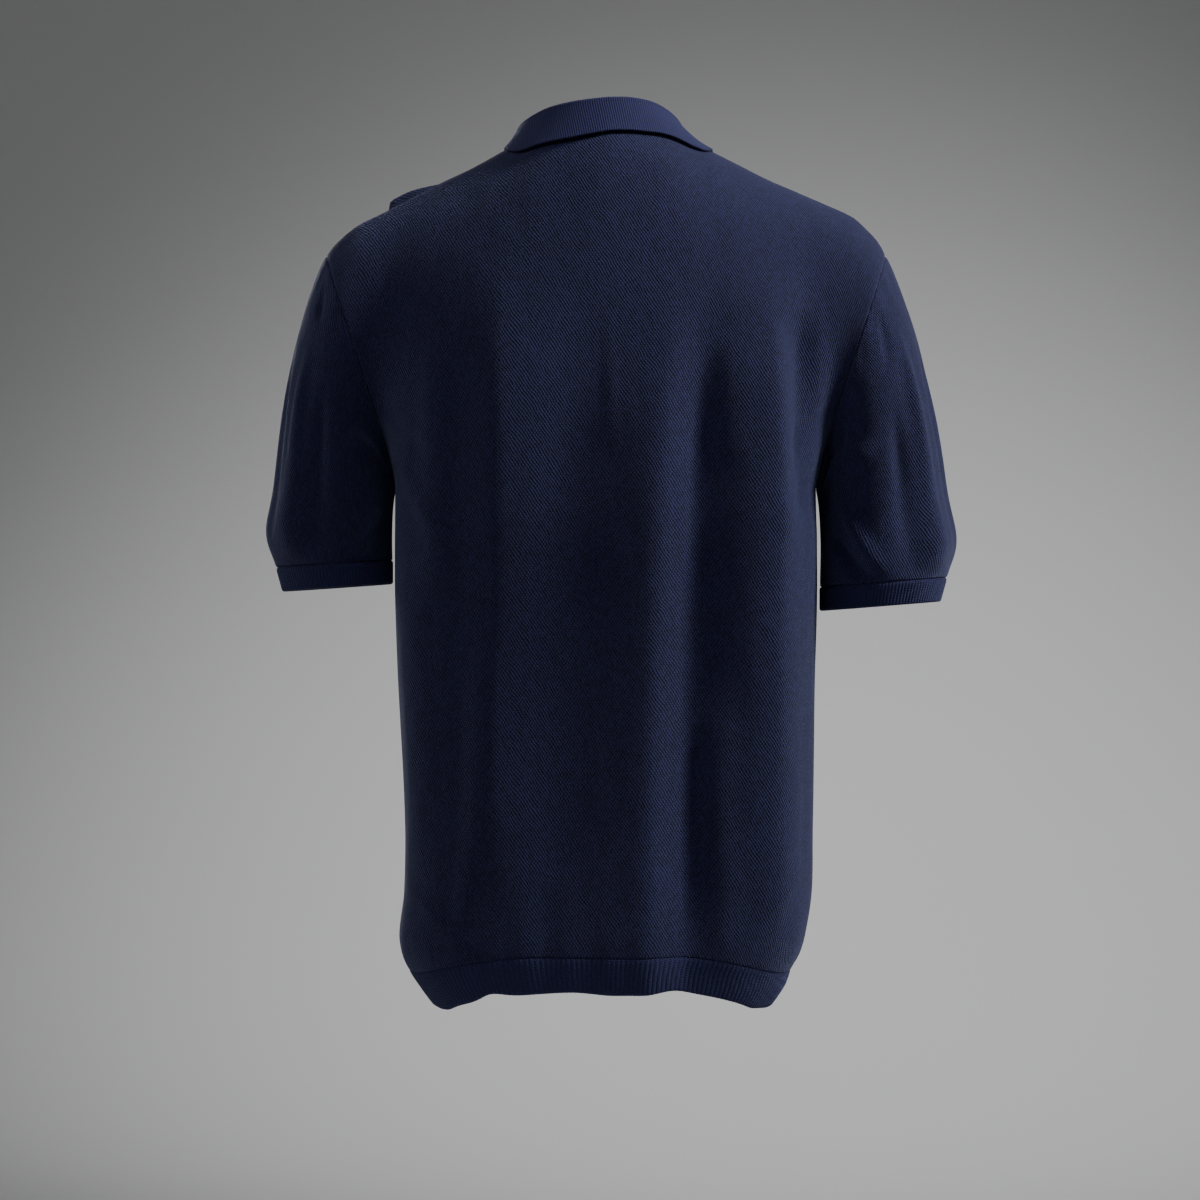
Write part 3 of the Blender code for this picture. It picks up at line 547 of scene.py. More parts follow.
def s_at_x(side, x, v):
    low, high = -0.5, 0.5
    for _ in range(PLACKET_HALVINGS):
        middle = (low + high) / 2
        if torso(side, middle, v).x < x:
            low = middle
        else:
            high = middle
    return (low + high) / 2


# ---------------------------------------------------------------- the sleeves' surface
def armhole_seam(hand, turn):
    """Point, outward normal and way into the sleeve. turn is 0 at the shoulder, 90 at the back, 180 below."""
    turn %= 360
    side = BACK if turn <= 180 else FRONT

    def at(angle):
        angle %= 360
        return torso(BACK if angle <= 180 else FRONT, hand, abs(angle - 180) / 180)

    normal = armhole_normal(side, hand, abs(turn - 180) / 180)
    along = at(turn + 1) - at(turn - 1)
    into = along.cross(normal).normalized() * hand
    return at(turn), normal, into


def cuff_ring(row, turn, down):
    """down is 0 at the top of the cuff's rib and 1 at its lower edge."""
    angle = math.radians(turn)
    toward_outer = (1 + math.cos(angle)) / 2
    flare = CUFF_FLARE * (1 - down)
    return Vector((
        row.hand * (lerp(row.inner, row.outer, toward_outer) + flare * toward_outer),
        CUFF_Y + (CUFF_DEPTH + flare) * math.sin(angle),
        lerp(row.inner_z, row.outer_z, toward_outer) + CUFF_HEIGHT * (1 - down),
    ))


def sleeve(row, turn, t):
    """The sleeve's outside: t is 0 at the armhole, 1 where the cuff's rib starts and 2 at its lower edge."""
    if t >= 1:
        return cuff_ring(row, turn, t - 1)
    start, _, into = armhole_seam(row.hand, turn)
    end = cuff_ring(row, turn, 0)
    angle = math.radians(turn)
    below = (1 - math.cos(angle)) / 2
    outward = Vector((row.hand * math.cos(angle), math.sin(angle), 0))
    lead = into * lerp(SHOULDER_LEAD, UNDERARM_LEAD, below) + DOWN * lerp(SHOULDER_DROP, UNDERARM_DROP, below)
    trail = UP + outward * TRAIL_SPREAD * (1 - below)
    span = (end - start).length
    first = start + lead.normalized() * span * LEAD_LENGTH
    second = end + trail.normalized() * span * TRAIL_LENGTH
    point = (
        start * (1 - t) ** 3 + first * 3 * t * (1 - t) ** 2 + second * 3 * t * t * (1 - t) + end * t**3
    )
    return point + outward * BLOUSE * (1 - below) * bump(t - BLOUSE_AT, BLOUSE_WIDTH) * (1 - t**12)


def turn_at(share):
    """The turn at a share of the way round, from the seam below."""
    return (180 + 360 * share) % 360


def sleeve_normal(row, turn, t):
    if t == 0:
        return armhole_seam(row.hand, turn)[1]
    around = sleeve(row, turn + 1, t) - sleeve(row, turn - 1, t)
    downward = sleeve(row, turn, min(t + SMALL, 2)) - sleeve(row, turn, max(t - SMALL, 0))
    return around.cross(downward).normalized() * -row.hand


def sleeve_drape(row, turn, t, place):
    """The sleeve's creases, measured on its flat cloth, and the small puckers along its armhole seam."""
    to_metres = math.radians(1) * SLEEVE_RADIUS
    out = 0.0
    for pull in SLEEVE_PULLS[row.name]:
        line = (pull.turn * to_metres, pull.t * SLEEVE_LENGTH, pull.to_turn * to_metres, pull.to_t * SLEEVE_LENGTH)
        out += crease(turn * to_metres, t * SLEEVE_LENGTH, line, pull.height, pull.width)
    calm = ease(t / SLEEVE_CALM) * ease((1 - t) / CUFF_CALM)
    puckers = PUCKER * math.sin(math.radians(turn) * PUCKER_TURNS) * bump(t - PUCKER_T, PUCKER_T)
    return out * calm + (wander(place) * calm + puckers) * (1 - t**8)


# ---------------------------------------------------------------- the collar's surface
def neck_seam(around):
    """The neckline at around, from -1 and 1 at the front to 0 at the nape: side, s, v."""
    side = BACK if abs(around) <= 0.5 else FRONT
    s = neck_s(math.copysign(min(abs(around), 1 - abs(around)) * 2, around))
    return side, s, neck_v(side, s)


def collar_tilt(around):
    return -COLLAR_TILT * math.sin(TURN * max(min(around, 0.5), -0.5))


def collar_bed(around, part):
    """The leaf's place on the body, moved out: part is 0 above the neck seam and 1 at the leaf's edge."""
    side, seam_s, seam_v = neck_seam(around)
    edge_s = read(COLLAR, abs(around), "edge_s") * (1 - math.copysign(COLLAR_SKEW, around))
    s = lerp(seam_s, math.copysign(edge_s, around), part)
    edge_v = read(COLLAR, abs(around), "edge_v") + collar_tilt(around) * TILT_TO_V
    v = lerp(seam_v if side == BACK else 2 - seam_v, edge_v, part)
    side, v = (BACK, v) if v < 1 else (FRONT, 2 - v)
    return body_point(side, s, v, COLLAR_LIFT + read(COLLAR, abs(around), "lift") * part)


def collar_section(around):
    """Points of the collar's right side, from the neck seam up the stand, over the fold and down the leaf."""
    here = neck_seam(around)
    normal = torso_normal(*here)
    along = torso(*neck_seam(around + SMALL)) - torso(*neck_seam(around - SMALL))
    into = along.cross(normal).normalized()
    outward = UP.cross(along).normalized()
    seam = torso(*here) - normal * CLOTH
    base = seam + into * SEAM_GAP
    base.y += here[0] * SEAM_GAP / 2
    lean = read(COLLAR, abs(around), "lean")
    rise = read(COLLAR, abs(around), "stand") + collar_tilt(around)
    top = seam - outward * lean + UP * rise + Vector((COLLAR_SHIFT, 0, 0))
    centre = top + outward * COLLAR_BEND
    points = []
    for i in range(STAND_ROWS):
        part = i / STAND_ROWS
        points.append(base.lerp(top, part) - outward * STAND_BOW * math.sin(math.pi * part))
    for i in range(BEND_ROWS + 1):
        angle = math.pi * i / BEND_ROWS
        points.append(centre + (UP * math.sin(angle) - outward * math.cos(angle)) * COLLAR_BEND)
    stand_off = points[-1] - collar_bed(around, 0)
    for i in range(1, LEAF_ROWS + 1):
        part = i / LEAF_ROWS
        points.append(collar_bed(around, part) + stand_off * (1 - part) ** LEAF_FALL)
    return points


# ---------------------------------------------------------------- sheets of cloth
def even_steps(count, length, fine_start=True, fine_end=True):
    """Shares from 0 to 1 in even steps, with finer ones beside the ends, for a length in metres."""
    shares = [i / count for i in range(count + 1)]
    extra = [gap / length for gap in EDGE_FINE if gap / length < 0.9 / count] if length else []
    if fine_start:
        shares += extra
    if fine_end:
        shares += [1 - share for share in extra]
    return sorted(shares)


def cloth_sheet(across, along, place, left_out=None, mirrored=False, flat_place=None):
    """A sheet with one vertex for each pair of an across and an along value, bent to place(across, along).
    Its UV map gives the flat cloth in metres: flat_place(across, along), or else measured along each row
    from the middle, and up each column.
    Mirrored is for a sheet whose rows run to the left, seen from outside, so that its faces turn outwards."""
    columns, rows = len(across) - 1, len(along) - 1
    bm = bmesh.new()
    bmesh.ops.create_grid(bm, x_segments=columns, y_segments=rows, size=1)
    cell = {}
    for vert in bm.verts:
        cell[vert] = round((vert.co.x + 1) / 2 * columns), round((vert.co.y + 1) / 2 * rows)
        vert.co = place(across[cell[vert][0]], along[cell[vert][1]])
    grid = {corner: vert.co.copy() for vert, corner in cell.items()}
    flat = {}
    middle = columns // 2
    for row in range(rows + 1):
        run = 0.0
        flat[middle, row] = [0.0, 0.0]
        for column in range(middle + 1, columns + 1):
            run += (grid[column, row] - grid[column - 1, row]).length
            flat[column, row] = [run, 0.0]
        run = 0.0
        for column in range(middle - 1, -1, -1):
            run -= (grid[column, row] - grid[column + 1, row]).length
            flat[column, row] = [run, 0.0]
    for column in range(columns + 1):
        run = 0.0
        for row in range(1, rows + 1):
            run += (grid[column, row] - grid[column, row - 1]).length
            flat[column, row][1] = run
    if flat_place:
        flat = {(column, row): flat_place(across[column], along[row]) for column, row in flat}
    layer = bm.loops.layers.uv.new(KNIT_UV)
    for face in bm.faces:
        for loop in face.loops:
            u, v = flat[cell[loop.vert]]
            loop[layer].uv = (-u if mirrored else u, v)
    if left_out:
        gone = [face for face in bm.faces if left_out(*[min(cell[v][k] for v in face.verts) for k in (0, 1)])]
        bmesh.ops.delete(bm, geom=gone, context="FACES")
    if mirrored:
        bmesh.ops.reverse_faces(bm, faces=bm.faces)
    bmesh.ops.remove_doubles(bm, verts=bm.verts, dist=1e-7)
    return bm


def finished(name, bm, material, wall=None):
    """The piece's object: a sheet gets a wall on its inner side."""
    mesh = bpy.data.meshes.new(name)
    bm.to_mesh(mesh)
    bm.free()
    mesh.shade_smooth()
    mesh.materials.append(material)
    obj = bpy.data.objects.new(name, mesh)
    bpy.context.scene.collection.objects.link(obj)
    if wall:
        solidify = obj.modifiers.new("wall", "SOLIDIFY")
        solidify.thickness = wall
        solidify.offset = -1
        solidify.use_even_offset = False
    return obj


def seam_roll(distance):
    return turned_in(distance, SEAM_REACH, SEAM_ROLL)


# ---------------------------------------------------------------- front and back
def panel_place(side, across, up):
    """The s and v at a share across, from -1 to 1, and up, from -1 to 1. Columns bend to stay even around
    the neck, rows end on the neckline, and the front's slot has straight edges."""
    s = across
    if up > 0 and abs(s) < NECK_S:
        s = lerp(s, neck_s(s / NECK_S), up)
    slot = SLOT_CELLS / SIDE_CELLS
    if side == FRONT and abs(across) < 2 * slot:
        v = max(up, 0) * neck_v(side, 0) + min(up, 0)
        straight = s_at_x(side, PLACKET_HALF, v)
        start = -LOWER_CELLS / (LOWER_CELLS + PLACKET_ROW)
        firm = ease((up * (UPPER_CELLS if up > 0 else LOWER_CELLS) + LOWER_CELLS) / (LOWER_CELLS + PLACKET_ROW))
        edge = lerp(slot, neck_s(slot / NECK_S), max(up, 0))
        outer = lerp(2 * slot, neck_s(2 * slot / NECK_S), max(up, 0))
        share = abs(across) / slot
        moved = share * straight if share <= 1 else lerp(straight, outer, share - 1)
        kept = share * edge if share <= 1 else lerp(edge, outer, share - 1)
        s = math.copysign(lerp(kept, moved, firm), across)
    return s, up * neck_v(side, s) if up > 0 else up


@functools.lru_cache(maxsize=None)
def flat_lines(side):
    """The smooth body's lengths, in metres, from its middle along lines of equal v and up from its rib."""
    across = [i / FLAT_STEPS - 1 for i in range(2 * FLAT_STEPS + 1)]
    upward = [j / FLAT_STEPS - FLAT_START for j in range(2 * FLAT_STEPS + 2)]
    grid = [[torso(side, s, v) for s in across] for v in upward]
    wide, high = [], [[0.0] * len(across)]
    for row in grid:
        runs = [0.0]
        for a, b in zip(row, row[1:]):
            runs.append(runs[-1] + (b - a).length)
        wide.append([run - runs[FLAT_STEPS] for run in runs])
    for below, row in zip(grid, grid[1:]):
        high.append([run + (b - a).length for run, a, b in zip(high[-1], below, row)])
    return wide, high


def panel_flat(side, s, v):
    """A place's u and v on the panel's flat cloth."""
    wide, high = flat_lines(side)
    column, row = (s + 1) * FLAT_STEPS, (v + FLAT_START) * FLAT_STEPS
    i, j = min(int(column), len(wide[0]) - 2), min(int(row), len(wide) - 2)

    def between(lines):
        low, top = (lerp(lines[k][i], lines[k][i + 1], column - i) for k in (j, j + 1))
        return lerp(low, top, row - j)

    return between(wide), between(high)


def seam_distance(side, s, v):
    """About how far a place is from the panel's side, armhole and shoulder seams, and from its rib."""
    side_way = (1 - abs(s)) * SIDE_RUN
    top_way = (1 - v) * ARMHOLE_RUN if abs(s) >= NECK_S * 0.9 else 1.0
    rib_way = (v + 1) * LOWER_RUN + RIB_SEAM_EASE
    return min(side_way, top_way, rib_way)


def make_panel(name, side, material):
    half = [i / SIDE_CELLS for i in range(SIDE_CELLS + 1)] + [1 - gap / SIDE_RUN for gap in EDGE_FINE[:2]]
    across = sorted(set(half) | {-share for share in half})
    lower = [-share for share in even_steps(LOWER_CELLS, LOWER_RUN, fine_start=False)]
    upper = even_steps(UPPER_CELLS, UPPER_RUN, fine_start=False)
    along = sorted(set(lower) | set(upper))

    def place(across_share, up):
        s, v = panel_place(side, across_share, up)
        return body_point(side, s, v, seam_roll(seam_distance(side, s, v)))

    def in_slot(column, row):
        middle = (across[column] + across[column + 1]) / 2
        return abs(middle) < SLOT_CELLS / SIDE_CELLS and along[row] * UPPER_CELLS > PLACKET_ROW - 0.5

    bm = cloth_sheet(
        across, along, place, in_slot if side == FRONT else None, mirrored=side == BACK,
        flat_place=lambda across_share, up: panel_flat(side, *panel_place(side, across_share, up)),
    )
    return finished(f"{name}_cloth", bm, material, CLOTH)


# ---------------------------------------------------------------- ribs
def rib_height(cell, from_edge, from_seam):
    """Share of the relief at a cell from the band's first groove, and at shares of its height from its ends."""
    place = (cell % RIB_CELLS) / RIB_CELLS
    rounded = math.sqrt(1 - (2 * place - 1) ** 2)
    return rounded * ease(from_edge * RIB_RISE + RIB_START) * ease(from_seam * RIB_FADE)


def ring_length(points):
    return sum((b - a).length for a, b in zip(points, points[1:]))


def rib_spread(outline):
    """How many cells cross a band of whole ribs, and their shares across it. The outline goes from 0 to 1."""
    ribs = round(ring_length([outline(i / OUTLINE_STEPS) for i in range(OUTLINE_STEPS + 1)]) / RIB_PITCH)
    cells = ribs * RIB_CELLS
    return cells, [i / cells for i in range(cells + 1)]


def make_hem_rib(name, side, material):
    cells, across = rib_spread(lambda share: torso(side, lerp(-1, 1, share), -1.1))
    along = even_steps(HEM_ROWS, HEM_RIB) + [1 + SEAM_TUCK / HEM_RIB]

    @functools.lru_cache(maxsize=None)
    def column(share):
        s = lerp(-1, 1, share)
        return s, rib_top_z(side, s), hem_z(side, s)

    def place(share, up):
        s, top, bottom = column(share)
        v = -1 - (1 - up) * (top - bottom) / (UNDERARM_Z - top)
        out = HEM_RELIEF * rib_height(round(share * cells), up, 1 - up) + RIB_WALL - CLOTH
        out += turned_in(up * HEM_RIB, EDGE_REACH, EDGE_ROLL) + seam_roll((1 - up) * HEM_RIB) * HEM_SEAM_ROLL
        out += seam_roll((1 - abs(s)) * SIDE_RUN)
        return body_point(side, s, v, out - RIB_IN * (up > 1))

    bm = cloth_sheet(across, along, place, mirrored=side == BACK)
    return finished(f"{name}_cloth", bm, material, RIB_WALL)


def make_cuff(row, material):
    cells, across = rib_spread(lambda share: cuff_ring(row, 360 * share, 0.5))
    along = [-SEAM_TUCK / CUFF_HEIGHT] + even_steps(CUFF_ROWS, CUFF_HEIGHT)

    def place(share, down):
        turn = turn_at(share)
        out = RIB_RELIEF * rib_height(round(share * cells), 1 - down, down) + RIB_WALL - CLOTH
        out += turned_in((1 - down) * CUFF_HEIGHT, EDGE_REACH, EDGE_ROLL)
        out += seam_roll(down * CUFF_HEIGHT) * CUFF_SEAM_ROLL - RIB_IN * (down < 0)
        point = sleeve(row, turn, 1 + max(down, 0)) + sleeve_normal(row, turn, 1 + down) * out
        return point + UP * -min(down, 0) * CUFF_HEIGHT

    bm = cloth_sheet(across, along, place, mirrored=row.hand == LEFT)
    return finished(f"cuff_{row.name}_cloth", bm, material, RIB_WALL)


# ---------------------------------------------------------------- sleeves
def make_sleeve(row, material):
    across = [i / SLEEVE_COLUMNS for i in range(SLEEVE_COLUMNS + 1)]
    along = even_steps(SLEEVE_ROWS, SLEEVE_LENGTH)

    def place(share, t):
        turn = turn_at(share)
        point = sleeve(row, turn, t)
        normal = sleeve_normal(row, turn, t)
        out = sleeve_drape(row, turn, t, point) + seam_roll(min(t, 1 - t) * SLEEVE_LENGTH)
        point += normal * out
        if t == 0:
            point += armhole_seam(row.hand, turn)[2] * SEAM_GAP
        return point

    @functools.lru_cache(maxsize=None)
    def runs(share):
        """How far the cuff is along the column, from even steps down it."""
        points = [sleeve(row, turn_at(share), i / RUN_STEPS) for i in range(RUN_STEPS + 1)]
        return [ring_length(points[i:]) for i in range(RUN_STEPS + 1)] + [0.0]

    def flat_place(share, t):
        step = int(t * RUN_STEPS)
        run = lerp(runs(share)[step], runs(share)[step + 1], t * RUN_STEPS - step)
        return (share - 0.5) * TURN * SLEEVE_RADIUS, -run

    bm = cloth_sheet(across, along, place, mirrored=row.hand == LEFT, flat_place=flat_place)
    return finished(f"sleeve_{row.name}_cloth", bm, material, CLOTH)


# ---------------------------------------------------------------- collar
def make_collar(material):
    slot_s = s_at_x(FRONT, PLACKET_HALF, neck_v(FRONT, 0))
    slot_around = 1 - math.degrees(math.asin(slot_s / NECK_S)) / 180
    half = COLLAR_COLUMNS // 2
    shares = [i / half * COLLAR_PARTING for i in range(half + 1)]
    shares[-1:] = [COLLAR_PARTING - COLLAR_END_STEP, COLLAR_PARTING]
    shares = sorted(set(shares) | {slot_around})
    across = sorted({-share for share in shares} | set(shares))
    rows = STAND_ROWS + BEND_ROWS + LEAF_ROWS
    sections = {here: collar_section(here) for here in across}

    def place(here, row):
        index = across.index(here)
        before, after = sections[across[max(index - 1, 0)]], sections[across[min(index + 1, len(across) - 1)]]
        points = sections[here]
        onward = points[min(row + 1, rows)] - points[max(row - 1, 0)]
        normal = (after[row] - before[row]).cross(onward).normalized()
        if row == 0:
            normal = -torso_normal(*neck_seam(here))
        end_way = (COLLAR_PARTING - abs(here)) * COLLAR_HALF_RUN
        edge_way = (rows - row) / LEAF_ROWS * LEAF_RUN
        roll = turned_in(min(end_way, edge_way), EDGE_REACH, EDGE_ROLL)
        uneven = wander(points[row]) * LEAF_WANDER * ease((row - STAND_ROWS) / WANDER_ROWS)
        return points[row] + normal * (roll + uneven)

    bm = cloth_sheet(across, list(range(rows + 1)), place)
    return finished("collar_cloth", bm, material, COLLAR_WALL)


# ---------------------------------------------------------------- placket
def make_strip(name, out, wall, material):
    across = [share * 2 - 1 for share in even_steps(STRIP_COLUMNS, 2 * PLACKET_HALF)]
    along = even_steps(STRIP_ROWS, STRIP_RUN)

    def place(share, up):
        upper = lerp(PLACKET_SHARE + PLACKET_EASE, 1 - PLACKET_EASE / 2, up)
        s = s_at_x(FRONT, share * (PLACKET_HALF - SEAM_GAP), upper * neck_v(FRONT, 0))
        edge_way = min((1 - abs(share)) * PLACKET_HALF, up * STRIP_RUN, (1 - up) * STRIP_RUN)
        return body_point(FRONT, s, upper * neck_v(FRONT, s), out + turned_in(edge_way, EDGE_REACH, EDGE_ROLL))

    bm = cloth_sheet(across, along, place)
    return finished(f"{name}_cloth", bm, material, wall)


def strip_seat(share, out):
    """Where something lies on the placket's middle: its place and its turn, +Z out of the cloth, +Y up."""
    v = share * neck_v(FRONT, 0)
    normal = torso_normal(FRONT, 0, v)
    upward = (torso(FRONT, 0, v + SMALL) - torso(FRONT, 0, v - SMALL)).normalized()
    right = upward.cross(normal).normalized()
    turn = Matrix((right, normal.cross(right), normal)).transposed().to_4x4()
    return Matrix.Translation(body_point(FRONT, 0, v, out)) @ turn


def button_profile():
    """Half section of a button, from its outside's middle over the rim to its back's middle."""
    points = [(0, BUTTON_THICK - BUTTON_DISH), (BUTTON_WELL - BUTTON_ROUND, BUTTON_THICK - BUTTON_DISH)]
    for i in range(WELL_STEPS + 1):
        angle = math.radians(90 * i / WELL_STEPS)
        points.append((
            BUTTON_WELL + BUTTON_DISH * math.sin(angle) - BUTTON_ROUND / 2,
            BUTTON_THICK - BUTTON_DISH * (math.cos(angle) + BUTTON_LIP),
        ))
    middle = BUTTON_THICK / 2
    for i in range(RIM_STEPS + 1):
        angle = math.radians(90 - 180 * i / RIM_STEPS)
        points.append((
            BUTTON_RADIUS - BUTTON_ROUND + BUTTON_ROUND * math.cos(angle),
            middle + middle * math.sin(angle) * (1 if angle > 0 else BUTTON_BACK),
        ))
    points.append((0, middle * (1 - BUTTON_BACK)))
    return points


def make_button(button, material, thread):
    """A round button with a dished middle, and its threads crossing the four holes."""
    bm = bmesh.new()
    verts = [bm.verts.new((radius, 0, z)) for radius, z in button_profile()]
    edges = [bm.edges.new(pair) for pair in zip(verts, verts[1:])]
    bmesh.ops.spin(
        bm, geom=verts + edges, axis=UP, cent=(0, 0, 0), angle=TURN, steps=BUTTON_SIDES, use_merge=True
    )
    bmesh.ops.remove_doubles(bm, verts=bm.verts, dist=1e-6)
    bmesh.ops.recalc_face_normals(bm, faces=bm.faces)
    seat = strip_seat(button.share, UPPER_STRIP_OUT + BUTTON_SEAT)
    disc = finished(f"{button.name}_disc", bm, material)
    holes = bmesh.new()
    stitches = bmesh.new()
    for quarter in range(4):
        angle = math.radians(45 + 90 * quarter)
        at = Vector((math.cos(angle), math.sin(angle), 0)) * BUTTON_HOLE_OUT
        bmesh.ops.create_cone(
            holes, cap_ends=True, segments=20, radius1=BUTTON_HOLE, radius2=BUTTON_HOLE,
            depth=3 * BUTTON_THICK, matrix=Matrix.Translation(at + UP * BUTTON_THICK / 2),
        )
    for across in (-1, 0, 1):
        for turn in (45, 135):
            lift = BUTTON_THICK - BUTTON_DISH + THREAD_RADIUS * (1 if turn == 45 else THREAD_OVER)
            place = Matrix.Translation((0, 0, lift)) @ Matrix.Rotation(math.radians(turn), 4, "Z")
            side_step = Matrix.Translation(
                (0, across * THREAD_RADIUS * THREAD_SPREAD, -abs(across) * THREAD_RADIUS * THREAD_SINK)
            )
            bmesh.ops.create_cone(
                stitches, cap_ends=True, segments=10, radius1=THREAD_RADIUS, radius2=THREAD_RADIUS,
                depth=2 * BUTTON_HOLE_OUT + BUTTON_HOLE,
                matrix=place @ side_step @ Matrix.Rotation(math.radians(90), 4, "Y"),
            )
    cutter = finished(f"{button.name}_holes", holes, material)
    cut = disc.modifiers.new("holes", "BOOLEAN")
    cut.object = cutter
    cut.operation = "DIFFERENCE"
    bake_modifiers(disc)
    bpy.data.objects.remove(cutter)
    disc.data.transform(seat)
    disc.data.set_sharp_from_angle(angle=math.radians(SHARP_DEGREES))
    cross = finished(f"{button.name}_thread", stitches, thread)
    cross.data.transform(seat)
    return disc, cross


def make_buttonhole(button, thread):
    """The raised stitching round a buttonhole, which shows past its button along the placket."""
    straight = BUTTONHOLE_HALF - BUTTONHOLE_SIDE

    def place(side, step):
        angle = TURN * (step % BUTTONHOLE_STEPS) / BUTTONHOLE_STEPS
        round_thread = TURN * (side % BUTTONHOLE_SIDES) / BUTTONHOLE_SIDES
        right, up = math.sin(angle), math.cos(angle)
        if abs(up) < 0.5:
            centre = Vector((math.copysign(BUTTONHOLE_SIDE, right), straight * up / 0.5, 0))
        else:
            centre = Vector((BUTTONHOLE_SIDE * right, BUTTONHOLE_SIDE * up + math.copysign(straight, up), 0))
        thick = BUTTONHOLE_THREAD * (1 + BUTTONHOLE_SWELL * (step % 2))
        outward = Vector((right, up, 0)) * math.sin(round_thread)
        return centre + (outward + UP * BUTTONHOLE_FLAT * math.cos(round_thread)) * thick

    bm = cloth_sheet(range(BUTTONHOLE_SIDES + 1), range(BUTTONHOLE_STEPS + 1), place)
    bmesh.ops.recalc_face_normals(bm, faces=bm.faces)
    hole = finished(f"{button.name}_buttonhole", bm, thread)
    hole.data.transform(strip_seat(button.share, UPPER_STRIP_OUT + BUTTONHOLE_SEAT))
    return hole


def bake_modifiers(obj):
    """Turns the object's modifiers into its mesh."""
    graph = bpy.context.evaluated_depsgraph_get()
    made = bpy.data.meshes.new_from_object(obj.evaluated_get(graph))
    obj.modifiers.clear()
    obj.data = made


# ---------------------------------------------------------------- materials
class Wire:
    """One output in a material's nodes. Arithmetic on it adds Math nodes."""

    def __init__(self, tree, socket=None):
        self.tree, self.socket = tree, socket

    def node(self, kind, settings=None, inputs=None, output=0):
        """A new node: its settings first, then its sockets' values or links, by name or number."""
        made = self.tree.nodes.new(kind)
        for name, value in (settings or {}).items():
            setattr(made, name, value)
        for name, value in (inputs or {}).items():
            if isinstance(value, Wire):
                self.tree.links.new(value.socket, made.inputs[name])
            else:
                made.inputs[name].default_value = value
        return Wire(self.tree, made.outputs[output])

    def output(self, number):
        """Another output of this one's node."""
        return Wire(self.tree, self.socket.node.outputs[number])

    def math(self, operation, *values):
        return self.node("ShaderNodeMath", {"operation": operation}, dict(enumerate(values)))

    def __add__(self, other):
        return self.math("ADD", self, other)

    def __sub__(self, other):
        return self.math("SUBTRACT", self, other)

    def __rsub__(self, other):
        return self.math("SUBTRACT", other, self)

    def __mul__(self, other):
        return self.math("MULTIPLY", self, other)

    def __truediv__(self, other):
        return self.math("DIVIDE", self, other)

    __radd__, __rmul__ = __add__, __mul__

    def cosine(self):
        return self.math("COSINE", self)

    def fraction(self):
        return self.math("FRACT", self)

    def floor(self):
        return self.math("FLOOR", self)

    def size(self):
        return self.math("ABSOLUTE", self)

    def between(self, low, high):
        """0 up to low, 1 from high, and a smooth step between them."""
        inputs = {"Value": self, "From Min": low, "From Max": high}
        return self.node("ShaderNodeMapRange", {"interpolation_type": "SMOOTHSTEP"}, inputs)

    def mix(self, low, high):
        """The colour low where this is 0, and high where it is 1."""
        return self.node("ShaderNodeMix", {"data_type": "RGBA"}, {0: self, 6: low, 7: high}, 2)


def new_material(name):
    material = bpy.data.materials.new(name)
    material.use_nodes = True
    tree = material.node_tree
    return material, tree.nodes["Principled BSDF"], Wire(tree)


def flat_cloth(start):
    """The flat cloth's two directions, in metres, and both as one vector."""
    uv = start.node("ShaderNodeUVMap", {"uv_map": KNIT_UV})
    parts = uv.node("ShaderNodeSeparateXYZ", inputs={0: uv})
    return parts, parts.output(1), uv


def cloudy(start, vector, scale, detail=3.0):
    return start.node("ShaderNodeTexNoise", inputs={"Vector": vector, "Scale": scale, "Detail": detail})


def set_yarn(shader, start, color, roughness, height, distance, sheen=0.25):
    """Finishes a yarn material: what changes over the cloth goes to colour, roughness and bump only."""
    links = start.tree.links
    links.new(color.socket, shader.inputs["Base Color"])
    links.new(roughness.socket, shader.inputs["Roughness"])
    raised = start.node("ShaderNodeBump", inputs={"Strength": 1.0, "Distance": distance, "Height": height})
    links.new(raised.socket, shader.inputs["Normal"])
    shader.inputs["Sheen Weight"].default_value = sheen
    shader.inputs["Sheen Roughness"].default_value = 0.45
    shader.inputs["Sheen Tint"].default_value = (0.42, 0.47, 0.85, 1)
    shader.inputs["Specular IOR Level"].default_value = 0.28


def tuck_knit():
    """Small staggered stitches, joined a little more along one diagonal."""
    material, shader, start = new_material("tuck_knit")
    u, v, uv = flat_cloth(start)
    column = u / STITCH_WIDE + (cloudy(start, uv, 70.0) - 0.5) * 1.6
    course = v / (2 * STITCH_HIGH) + (cloudy(start, uv, 45.0) - 0.5) * 1.0
    fall, rise = column + course, column - course
    falling, rising = (fall * TURN).cosine(), (rise * TURN).cosine()
    level = (course * (2 * TURN)).cosine()
    stitch = 0.5 + 0.18 * falling + 0.14 * rising + 0.03 * level
    each = start.node("ShaderNodeCombineXYZ", inputs={0: fall.floor(), 1: rise.floor()})
    odd = start.node("ShaderNodeTexWhiteNoise", {"noise_dimensions": "2D"}, {"Vector": each}) - 0.5
    fluff = cloudy(start, uv, 2200.0, 2.0)
    uneven = cloudy(start, uv, 14.0)
    # Painted shade: the hollows between stitches are coloured darker; the rest is the yarn's own uneven tone, per
    # stitch and in clouds.
    painted_shade_and_tone = stitch.between(0.15, 0.85) * 0.85 + (uneven - 0.5) * 0.25 + (fluff - 0.5) * 0.30 + odd * 0.45
    color = painted_shade_and_tone.between(0.0, 1.0).mix(NAVY_PAINTED_SHADE, NAVY_TOP)
    roughness = 0.92 - 0.10 * stitch
    set_yarn(shader, start, color, roughness, stitch + 0.15 * fluff + 0.22 * odd, 0.0011)
    return material


